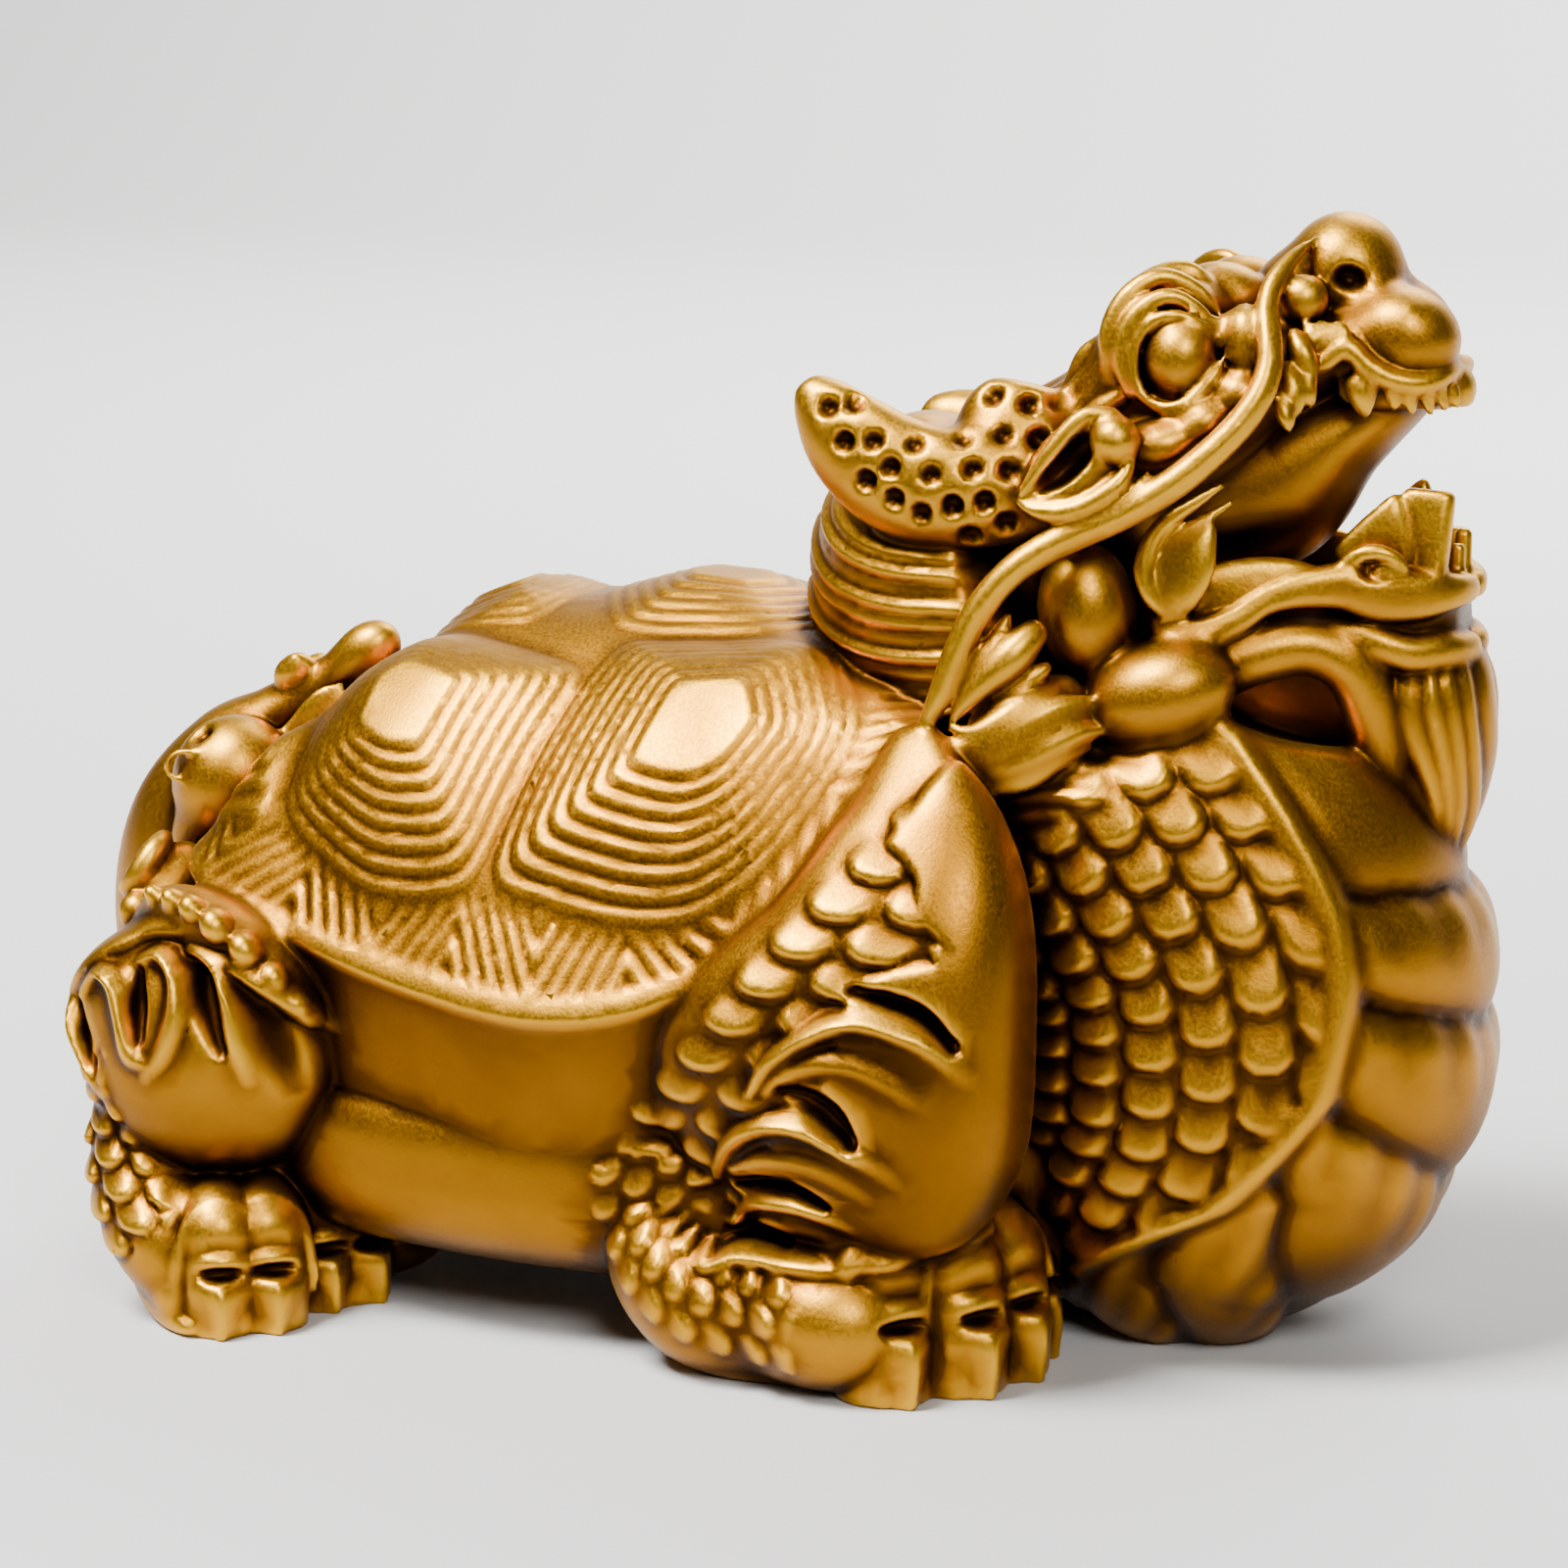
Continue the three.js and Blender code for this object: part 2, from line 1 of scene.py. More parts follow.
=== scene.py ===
import math
import bmesh
import bpy
import mathutils
import numpy as np
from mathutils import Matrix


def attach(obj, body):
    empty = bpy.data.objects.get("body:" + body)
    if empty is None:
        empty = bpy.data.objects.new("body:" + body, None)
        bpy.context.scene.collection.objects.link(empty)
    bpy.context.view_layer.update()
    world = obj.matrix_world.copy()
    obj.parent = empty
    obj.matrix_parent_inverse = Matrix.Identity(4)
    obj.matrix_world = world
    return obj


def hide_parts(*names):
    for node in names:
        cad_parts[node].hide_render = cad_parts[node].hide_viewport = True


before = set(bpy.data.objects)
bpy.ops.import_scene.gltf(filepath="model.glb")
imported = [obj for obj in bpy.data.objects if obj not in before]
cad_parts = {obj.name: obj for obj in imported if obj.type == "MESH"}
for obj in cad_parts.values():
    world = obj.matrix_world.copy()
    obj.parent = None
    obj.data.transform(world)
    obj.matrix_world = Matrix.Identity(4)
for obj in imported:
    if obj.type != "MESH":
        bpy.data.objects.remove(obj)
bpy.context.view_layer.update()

import openvdb

# The figure is modelled in mm like clay, in a block of small cells. Each cell holds how far its middle
# is from the surface, below zero inside, up to BAND on either side.
CELL = 0.5
BAND_CELLS = 6
BAND = CELL * BAND_CELLS


def smoothstep(low, high, x):
    """0 at low and 1 at high, with a soft start and end."""
    f = np.clip((x - low) / (high - low), 0, 1)
    return f * f * (3 - 2 * f)


def smooth_min(a, b, soft):
    """The lesser of two distances, rounded where they meet by a fillet about as wide as soft."""
    if soft <= 0:
        return np.minimum(a, b)
    h = np.maximum(soft - np.abs(a - b), 0) / soft
    return np.minimum(a, b) - h * h * (soft / 4)


def unit(v):
    return v / np.linalg.norm(v, axis=-1, keepdims=True)


# Forms that are added to the clay or cut from it: closed skins, as points in mm and quads
def curve(points, t):
    """A smooth line through the points, read at the shares t of its way."""
    points = np.asarray(points, float)
    last = len(points) - 1
    at = np.clip(np.asarray(t, float) * last, 0, last - 1e-9)
    i = np.floor(at).astype(int)
    f = (at - i)[..., None] if points.ndim > 1 else at - i
    p0, p1, p2, p3 = (points[np.clip(i + k, 0, last)] for k in (-1, 0, 1, 2))
    cubic = 3 * (p1 - p2) + p3 - p0
    square = 2 * p0 - 5 * p1 + 4 * p2 - p3
    return p1 + 0.5 * f * (p2 - p0 + f * (square + f * cubic))


class Place:
    """Where the points of a swept skin are: t along it and turn round it, both as shares, along in mm,
    and the plain skin's x, y and z."""


ROUTE_STEPS = 200
MOST_RINGS = 700
FINE = 0.9


def sweep(stations, across=(0, 1, 0), blunt=2.5, square=2, relief=None, fine=FINE):
    """A rounded form swept along stations of x, y, z, half width and half depth, all in mm; one radius
    does for both. The width lies along across. Ends are rounder with a low blunt. A section is an
    ellipse at square 2, a diamond at 1 and boxier above. relief gives what stands out, for a Place, and
    fine is the width of its largest quads."""
    table = np.array([row if len(row) == 5 else (*row, row[3]) for row in stations], float)
    dense = curve(table[:, :3], np.linspace(0, 1, ROUTE_STEPS))
    steps = np.linalg.norm(np.diff(dense, axis=0), axis=1)
    length = steps.sum()
    rings = int(np.clip(1.6 * length / fine, 10, MOST_RINGS))
    sides = int(np.clip(2 * math.pi * table[:, 3:].max() / fine, 12, MOST_RINGS))
    t = (1 - np.cos(np.pi * np.arange(rings + 1) / rings)) / 2
    centre = curve(table[:, :3], t)
    ahead = curve(table[:, :3], np.minimum(t + 1e-4, 1))
    behind = curve(table[:, :3], np.maximum(t - 1e-4, 0))
    along = unit(ahead - behind)
    reference = np.array(across, float)
    wide = unit(reference - along * (along @ reference)[:, None])
    deep = np.cross(wide, along)
    cap = np.maximum(0, 1 - np.abs(2 * t - 1) ** blunt) ** (1 / blunt)
    turn = np.arange(sides) / sides
    c, s = np.cos(2 * np.pi * turn), np.sin(2 * np.pi * turn)
    c = np.sign(c) * np.abs(c) ** (2 / square)
    s = np.sign(s) * np.abs(s) ** (2 / square)
    w, d = curve(table[:, 3], t)[:, None], curve(table[:, 4], t)[:, None]
    raised = 0
    if relief:
        place = Place()
        place.t, place.turn = t[:, None], turn[None, :]
        travelled = np.concatenate([[0], np.cumsum(steps)])
        place.along = np.interp(t, np.linspace(0, 1, ROUTE_STEPS), travelled)[:, None]
        base = centre[:, None] + wide[:, None] * (w * c)[..., None] + deep[:, None] * (d * s)[..., None]
        place.x, place.y, place.z = base[..., 0], base[..., 1], base[..., 2]
        raised = relief(place)
    cap = cap[:, None]
    sideways = wide[:, None] * (cap * (w + raised) * c)[..., None]
    upwards = deep[:, None] * (cap * (d + raised) * s)[..., None]
    points = centre[:, None] + sideways + upwards
    return points.reshape(-1, 3), grid_quads(rings, sides)


def grid_quads(rings, sides):
    """The quads between rings of points, each ring closed."""
    j, i = np.meshgrid(np.arange(rings), np.arange(sides), indexing="ij")
    n = (i + 1) % sides
    quads = np.stack([j * sides + i, j * sides + n, (j + 1) * sides + n, (j + 1) * sides + i], -1)
    return quads.reshape(-1, 4)


def blob(centre, radii, pitch=0, yaw=0):
    """An egg with three radii, its nose tipped up by pitch and turned by yaw, in degrees."""
    radii = np.array(radii, float)
    rings = int(np.clip(3.2 * radii.max() / FINE, 10, 200))
    sides = 2 * rings
    v = np.pi * np.arange(rings + 1)[:, None] / rings
    u = 2 * np.pi * np.arange(sides)[None] / sides
    p = np.stack([np.sin(v) * np.cos(u), np.sin(v) * np.sin(u), np.cos(v) + 0 * u], -1) * radii
    a, b = math.radians(pitch), math.radians(yaw)
    x = p[..., 0] * math.cos(a) - p[..., 2] * math.sin(a)
    y = p[..., 1]
    z = p[..., 0] * math.sin(a) + p[..., 2] * math.cos(a)
    x, y = x * math.cos(b) - y * math.sin(b), x * math.sin(b) + y * math.cos(b)
    return np.stack([x, y, z], -1).reshape(-1, 3) + np.array(centre, float), grid_quads(rings, sides)


def mirrored(form):
    return form[0] * [1, -1, 1], form[1]


def on_side(form, side):
    """A form of the right side, which is -Y, or the same on the left where side is -1."""
    return form if side > 0 else mirrored(form)


class Clay:
    """The block of cells that forms are added to and cut from."""
    def __init__(self, low, high):
        self.low = np.floor(np.array(low) / CELL).astype(int)
        high = np.ceil(np.array(high) / CELL).astype(int)
        self.field = np.full(high - self.low, BAND, np.float32)

    def window(self, low, high):
        """The cells between two corners, as slices."""
        a = np.maximum(np.floor(np.array(low) / CELL).astype(int) - self.low, 0)
        b = np.minimum(np.ceil(np.array(high) / CELL).astype(int) + 1 - self.low, self.field.shape)
        return tuple(slice(i, max(i, j)) for i, j in zip(a, b))

    def axes(self, window):
        return [(np.arange(s.start, s.stop) + o) * CELL for s, o in zip(window, self.low)]

    def distances(self, form):
        """How far the cells round a form are from its skin, and which cells they are."""
        points, quads = form
        window = self.window(points.min(0) - BAND, points.max(0) + BAND)
        shape = [s.stop - s.start for s in window]
        if min(shape) <= 0:
            return None, None
        grid = openvdb.FloatGrid.createLevelSetFromPolygons(
            np.ascontiguousarray(points, np.float32), quads=np.ascontiguousarray(quads, np.uint32),
            transform=openvdb.createLinearTransform(voxelSize=CELL), halfWidth=BAND_CELLS)
        values = np.zeros(shape, np.float32)
        grid.copyToArray(values, ijk=tuple(int(s.start + o) for s, o in zip(window, self.low)))
        return window, values

    def add(self, form, soft=1.0, both=False):
        """Joins a form to the clay, and its mirror image too with both."""
        window, values = self.distances(form)
        if window:
            self.field[window] = smooth_min(self.field[window], values, soft)
        if both:
            self.add(mirrored(form), soft)

    def cut(self, form, soft, both=False):
        """Cuts a form out of the clay, and its mirror image too with both."""
        window, values = self.distances(form)
        if window:
            self.field[window] = -smooth_min(-self.field[window], values, soft)
        if both:
            self.cut(mirrored(form), soft)

    def smooth(self, reach):
        """Softens everything over a reach in mm."""
        spread = reach / CELL
        n = max(1, int(math.ceil(2.5 * spread)))
        weights = np.exp(-0.5 * (np.arange(-n, n + 1) / spread) ** 2)
        weights /= weights.sum()
        for axis in range(3):
            rows = np.moveaxis(self.field, axis, 0)
            padded = np.concatenate([np.repeat(rows[:1], n, 0), rows, np.repeat(rows[-1:], n, 0)])
            softened = np.zeros_like(rows)
            for weight, start in zip(weights, range(2 * n + 1)):
                softened += np.float32(weight) * padded[start:start + rows.shape[0]]
            self.field = np.moveaxis(softened, 0, axis)
        self.field = np.ascontiguousarray(self.field)

    def floor(self):
        """Cuts away what lies under the ground."""
        z = (np.arange(self.field.shape[2]) + self.low[2]) * CELL
        self.field = np.maximum(self.field, (-z)[None, None, :].astype(np.float32))

    def skin(self):
        """The surface of the clay, as points in mm, triangles and quads."""
        grid = openvdb.FloatGrid(BAND)
        grid.transform = openvdb.createLinearTransform(voxelSize=CELL)
        corner = tuple(int(v) for v in self.low)
        grid.copyFromArray(np.clip(self.field, -BAND, BAND), ijk=corner, tolerance=1e-4)
        return grid.convertToPolygons(isovalue=0, adaptivity=0.0)


DRAWING_FADE = 1.5
DRAWING_MOST = 2.8


def nearest_on(a, b, x, z):
    """The share of the way from a to b where points come nearest to it, and how far off they are."""
    d = b[:2] - a[:2]
    share = np.clip(((x - a[0]) * d[0] + (z - a[1]) * d[1]) / max(d @ d, 1e-9), 0, 1)
    return share, np.hypot(x - a[0] - share * d[0], z - a[1] - share * d[1])


class Drawing:
    """What is raised from one side of the clay and sunk into it, drawn on the side view in x and z.
    It reaches the cells whose distance from the middle plane lies within depth."""
    def __init__(self, clay, low, high, side, depth):
        y = -np.array(depth, float) * side
        self.clay = clay
        self.window = clay.window([low[0], min(y), low[1]], [high[0], max(y), high[1]])
        xs, ys, zs = clay.axes(self.window)
        self.x, self.z = np.meshgrid(xs, zs, indexing="ij")
        inner = smoothstep(0, DRAWING_FADE, np.abs(ys) - depth[0])
        self.reached = inner * smoothstep(0, DRAWING_FADE, depth[1] - np.abs(ys))
        self.height = np.zeros_like(self.x)

    def line(self, points):
        """A line of the drawing: x, z, half width and height at each point. Where lines cross, the
        higher one shows, and a height below zero is sunk into what is there."""
        dense = curve(np.array(points, float), np.linspace(0, 1, 10 * len(points)))
        level, share = np.zeros_like(self.x), np.full_like(self.x, 9.0)
        for a, b in zip(dense[:-1], dense[1:]):
            f, off = nearest_on(a, b, self.x, self.z)
            r = off / (a[2] + f * (b[2] - a[2]))
            level = np.where(r < share, a[3] + f * (b[3] - a[3]), level)
            share = np.minimum(r, share)
        profile = (1 - np.clip(share, 0, 1) ** 2)
        sunk = self.height + (level - self.height) * profile ** 0.8
        higher = np.maximum(self.height, level * profile ** 1.2)
        self.height = np.where(share >= 1, self.height, np.where(level < 0, sunk, higher))

    def plate(self, outline, height, roll):
        """A plate inside an outline, with a rolled edge."""
        loop = curve(np.array(outline + outline[:1], float), np.linspace(0, 1, 6 * len(outline)))
        loop[-1] = loop[0]
        inside, away = np.zeros(self.x.shape, bool), np.full_like(self.x, 99.0)
        for a, b in zip(loop[:-1], loop[1:]):
            away = np.minimum(away, nearest_on(a, b, self.x, self.z)[1])
            rise = (b[1] - a[1]) or 1e-9
            left_of_side = self.x < a[0] + (b[0] - a[0]) * (self.z - a[1]) / rise
            inside ^= ((a[1] > self.z) != (b[1] > self.z)) & left_of_side
        near = 1 - np.clip(away / roll, 0, 1)
        self.height = np.maximum(self.height, height * np.sqrt(1 - near ** 2) * inside)

    def press(self):
        """Puts the drawing into the clay."""
        height = np.clip(self.height, -DRAWING_MOST, DRAWING_MOST)
        raised = height[:, None, :] * self.reached[None, :, None]
        self.clay.field[self.window] -= raised.astype(np.float32)


# The shell: a dome over a rim, given by points of the right half of the rim, front to back
SHELL_CENTRE = np.array([-20, 0, 95.5])
RIM = np.array([
    [36, 0, 86], [35, -17, 86], [29.4, -33, 84], [19.6, -43, 68.6], [5, -50, 52.3], [-12.9, -53, 47.2],
    [-36.4, -50, 49.5], [-52.6, -46, 53.3], [-74.7, -34, 60], [-70.5, -18, 66], [-68, 0, 70],
], float)
DOME_FALL = 2.3
WALL_FOOT = 28
WALL_INSET = 0.12
RIM_LEAN = 0.75
RIM_EDGE = 0.6
TOP_SHARE = 0.24
# A scute: its top, its outline, how far it rises in mm and in how many steps
SPINE_SCUTES = [
    ([-8, 0], [[-26, 0], [-19, -15.8], [5, -16.4], [16, 0], [5, 16.4], [-19, 15.8]], 3.8, 6),
    ([-40, 0], [[-57, 0], [-49, -13], [-31, -14.8], [-27, 0], [-31, 14.8], [-49, 13]], 3.8, 6),
]
FLANK_SCUTES = [
    ([0, -33], [[-25.6, -45], [-3, -47.5], [13, -44], [23, -33], [14, -18.4], [-16, -17.8]], 6.0, 8),
    ([-42, -30], [[-59, -36], [-44, -44], [-27, -45.4], [-18.6, -24], [-46, -14.6], [-57, -20]], 6.0, 8),
    ([-65.6, -23], [[-72, -31], [-62, -36], [-60.4, -22], [-64, -12], [-70, -18]], 1.6, 3),
]

RIM_ANGLES = np.abs(np.arctan2(RIM[:, 1], RIM[:, 0] - SHELL_CENTRE[0]))
RIM_REACH = np.hypot(RIM[:, 0] - SHELL_CENTRE[0], RIM[:, 1])


def rim_at(angle):
    """How far out the rim is at an angle round the shell, and how high."""
    turn = np.abs(np.arctan2(np.sin(angle), np.cos(angle)))
    t = np.interp(turn, RIM_ANGLES, np.linspace(0, 1, len(RIM)))
    return curve(RIM_REACH, t), curve(RIM[:, 2], t)


def on_dome(x, y, lift):
    """Points of the dome, raised by lift: straight up on top and outwards near the rim."""
    dx, dy = x - SHELL_CENTRE[0], y
    angle = np.arctan2(dy, dx)
    reach, rim_height = rim_at(angle)
    out = np.minimum(np.hypot(dx, dy) / reach, 1)
    height = rim_height + (SHELL_CENTRE[2] - rim_height) * (1 - out ** DOME_FALL)
    steep = (out * RIM_LEAN) ** 1.5
    raised = height + lift * (1 - 0.5 * steep)
    return np.stack([x + lift * steep * np.cos(angle), y + lift * steep * np.sin(angle), raised], -1)


def gauge(x, y, top, outline):
    """0 at a scute's middle, 1 on its outline, with soft corners."""
    top, outline = np.array(top, float), np.array(outline, float)
    total = np.zeros_like(x)
    for a, b in zip(outline, np.roll(outline, -1, 0)):
        n = np.array([b[1] - a[1], a[0] - b[0]])
        if n @ (a - top) < 0:
            n = -n
        total += np.maximum(((x - top[0]) * n[0] + (y - top[1]) * n[1]) / (n @ (a - top)), 0) ** 12
    return total ** (1 / 12)


def staircase(share, steps):
    """Growth rings: steps with a steep rise and a tread that sinks a little towards the next one."""
    level = np.clip(share, 0, 1) * steps
    k = np.minimum(np.floor(level), steps - 1)
    f = level - k
    return (k + smoothstep(0, 0.3, f) * 1.12 - 0.5 * smoothstep(0.3, 1, f) * (k < steps - 1) - 0.12) / steps


HATCH_RADIUS = 52
HATCH_GROUP = 13
HATCH_LEAN = 1.1
HATCH_PITCH = 2.6
HATCH_DEPTH = 0.75


def hatching(x, y):
    """Herringbone grooves on the rim's band: short ones in groups that lean either way."""
    angle = np.arctan2(y, x - SHELL_CENTRE[0])
    reach, _ = rim_at(angle)
    inward = reach - np.hypot(x - SHELL_CENTRE[0], y)
    along_rim = angle * HATCH_RADIUS
    group = np.floor(along_rim / HATCH_GROUP)
    lean = np.where(group % 2 > 0.5, 1.0, -1.0)
    line = (along_rim + lean * inward * HATCH_LEAN) / HATCH_PITCH
    groove = 0.5 + 0.5 * np.cos(2 * np.pi * line)
    return -HATCH_DEPTH * groove * smoothstep(1.0, 1.8, inward) * smoothstep(8.5, 6.8, inward)


def dome():
    """The shell with its scutes, closed below by its wall and a flat underside."""
    sides, crown, wall, under = 820, 230, 60, 20
    angle = 2 * np.pi * np.arange(sides)[None] / sides
    reach, rim_height = rim_at(angle)
    out = np.linspace(0, 1, crown)[:, None]
    x = SHELL_CENTRE[0] + out * reach * np.cos(angle)
    y = out * reach * np.sin(angle)
    lift = np.zeros_like(x)
    inside = np.zeros_like(x)
    far_flank = [([top[0], -top[1]], [[a, -b] for a, b in outline], *rest)
                 for top, outline, *rest in FLANK_SCUTES]
    for top, outline, height, steps in SPINE_SCUTES + FLANK_SCUTES + far_flank:
        r = gauge(x, y, top, outline)
        lift = np.maximum(lift, height * staircase((1 - r) / (1 - TOP_SHARE), steps) * (r < 1))
        inside = np.maximum(inside, smoothstep(1.1, 1.0, r))
    lift = lift + hatching(x, y) * (1 - inside)
    drop = np.linspace(0, 1, wall + 1)[1:, None]
    w = (1 - WALL_INSET * drop ** 0.6) * reach
    z = rim_height - RIM_EDGE + (WALL_FOOT - rim_height + RIM_EDGE) * drop
    side_wall = np.stack([SHELL_CENTRE[0] + w * np.cos(angle), w * np.sin(angle), z], -1)
    w = (1 - WALL_INSET) * reach * np.linspace(1, 0, under + 1)[1:, None]
    z = np.full_like(w * angle, WALL_FOOT)
    underside = np.stack([SHELL_CENTRE[0] + w * np.cos(angle), w * np.sin(angle), z], -1)
    points = np.concatenate([on_dome(x, y, lift), side_wall, underside])
    return points.reshape(-1, 3), grid_quads(len(points) - 1, sides)


def shell(clay):
    clay.add(dome(), 0.3)


def plastron(clay):
    """The belly plate and the chest."""
    stations = [[-74, 0, 26, 20, 10], [-60, 0, 24, 40, 16], [-35, 0, 23, 46, 17], [-8, 0, 22.5, 47, 17],
                [20, 0, 23, 44, 17], [50, 0, 22, 26, 16]]
    clay.add(sweep(stations, blunt=4, square=3), 0.6)
    chest = [[42, 0, 4, 24, 12], [42, 0, 30, 25, 14], [38, 0, 58, 25, 14], [33, 0, 80, 24, 12]]
    clay.add(sweep(chest, blunt=4), 1.0)


# The neck. A crease between two of its plates is given by its height at the front and at the band
# beside the plates. The ridges say how far round from the front the band runs at each height.
NECK = [
    [50, 0, 1, 19, 17], [56, 0, 14, 27, 25], [62, 0, 32, 31.5, 34.5], [61.5, 0, 52, 32, 36],
    [52, 0, 71, 31, 32.4],
    [38.6, 0, 88, 28, 28.4], [31.6, 0, 102, 28, 26.6], [30.6, 0, 111, 26, 22], [33, 0, 117, 17, 13],
]
CREASES = [[-40, 8], [-16, 21], [-2, 31], [22, 39], [44.6, 52], [63, 64.8], [88, 90]]
RIDGE_HEIGHTS = [5, 12, 24, 39, 54, 61, 73, 83, 92]
RIDGE_SHARES = [0.31, 0.29, 0.205, 0.16, 0.143, 0.139, 0.138, 0.136, 0.13]
SCALE_STAGGER = 0.5


def scale_pattern(u, v, wide, tall, bulge=0.3):
    """Rounded scales in columns: u runs across them and v towards their free edges. 0 to 1."""
    column = np.floor(u / wide)
    fx = 2 * (u / wide - column) - 1
    rows = v / tall + SCALE_STAGGER * column + bulge * fx ** 2
    fy = rows - np.floor(rows)
    crown = np.clip(1 - np.abs(fx) ** 3.4, 0, 1) ** 0.45
    edge = np.clip(1 - np.abs((fy - 0.42) / 0.58) ** 6, 0, 1) ** 0.4
    return crown * edge * (0.3 + 0.7 * fy)


PLATE_HEIGHT, PLATE_SUNK = 2.3, 1.1
NECK_SCALE_WIDE, NECK_SCALE_TALL = 7.1, 6.4
NAPE_TOP, NAPE_FOLD = 118, 2.9
THROAT_DEPTH = 10.5


def neck_relief(p):
    """Plates across the front, a band beside them, scales on the flanks, folds round the nape and a
    hollow throat."""
    girth = np.pi * (np.interp(p.t, np.linspace(0, 1, len(NECK)), [row[3] + row[4] for row in NECK]))
    front = np.minimum(np.abs(p.turn - 0.25), 1 - np.abs(p.turn - 0.25))
    ridge = np.interp(p.z, RIDGE_HEIGHTS, RIDGE_SHARES)
    past = (front - ridge) * girth
    share = np.clip(front / ridge, 0, 1)
    plates = 0
    for (low_out, low_in), (high_out, high_in) in zip(CREASES[:-1], CREASES[1:]):
        low = low_out + (low_in - low_out) * share
        high = high_out + (high_in - high_out) * share
        f = (p.z - low) / (high - low)
        fan = 0.2 * np.cos(front * 150) * smoothstep(0.2, 0.8, f)
        plate = PLATE_HEIGHT * (1 - np.abs(2 * f - 1) ** 2.6) - PLATE_SUNK + fan
        plates = np.where((f >= 0) & (f < 1), plate, plates)
    band = 2.1 * np.exp(-(past / 2.4) ** 2)
    u = (front - 0.139) * girth
    scales = scale_pattern(u, -p.along + 200, NECK_SCALE_WIDE, NECK_SCALE_TALL, bulge=0.25)
    flank = (2.9 * scales - 1.3) * smoothstep(1.6, 3, past)
    below = np.where(past < 0, plates * smoothstep(-1.5, -5, past), flank) + band
    to_front = np.clip((0.46 - front) / 0.2, 0, 1)
    fold = (NAPE_TOP - 11 * (1 - (1 - to_front) ** 2) - p.z) / (NAPE_FOLD - 0.8 * to_front)
    folds = (1.5 + 0.5 * np.sin(2.3 * np.floor(fold))) * np.abs(np.sin(np.pi * fold)) ** 0.6 - 1.0
    throat = -THROAT_DEPTH * smoothstep(0.5, 0.58, p.t)
    above = throat * smoothstep(0.24, 0.19, front) + folds * smoothstep(0.19, 0.24, front)
    share_above = smoothstep(0.5, 0.55, p.t)
    return below * (1 - share_above) + above * share_above


def neck(clay):
    clay.add(sweep(NECK, blunt=5, relief=neck_relief, fine=0.55), 0.6)
    clay.cut(blob([70, 0, 91], [18, 24, 9], pitch=-20), 3.5)


# The head, turned up, with its mouth open
def upper_head(clay):
    """The skull and the snout, with what is on them."""
    skull = [[16, 0, 111, 15, 8], [32, 0, 113, 20, 10.6], [46, 0, 117, 20, 12.4], [60, 0, 126, 18, 14],
             [70, 0, 131, 14, 9], [82, 0, 133.4, 10.6, 4.6], [91, 0, 133, 7.6, 3.4]]
    clay.add(sweep(skull, blunt=3, relief=skull_hair), 1.0)
    nose(clay)
    brows(clay)
    upper_lip(clay)


def nose(clay):
    """The bridge, the round lobes, the wings and the nostrils."""
    clay.add(blob([77, 0, 142], [7.7, 7.7, 7.7]), 2.0)
    clay.add(sweep([[78, 0, 142, 5.5], [72.6, 0, 139.6, 7, 6.4], [66, 0, 134, 8, 6]]), 1.2)
    clay.add(blob([86, -5.2, 134.4], [7.0, 6.2, 6.0], pitch=-15), 4)
    clay.add(blob([84, 4.4, 135], [6.2, 5.8, 5.4], pitch=-15), 4)
    clay.add(sweep([[87.6, -9.2, 139, 0.5], [87, -10.4, 136, 0.7], [86, -10.2, 133, 0.5]]), 0.6, both=True)
    clay.add(blob([73.9, -9.8, 139], [3.2, 3.2, 3.3]), 0.3, both=True)
    clay.cut(blob([79.2, -8.6, 141.6], [2.5, 3.8, 1.9], pitch=-18), 0.5, both=True)
    clay.cut(sweep([[77.4, -9.4, 141, 0.9], [79.6, -9.6, 139.2, 1.2], [81.8, -9, 138.6, 0.5]]), 0.4,
             both=True)


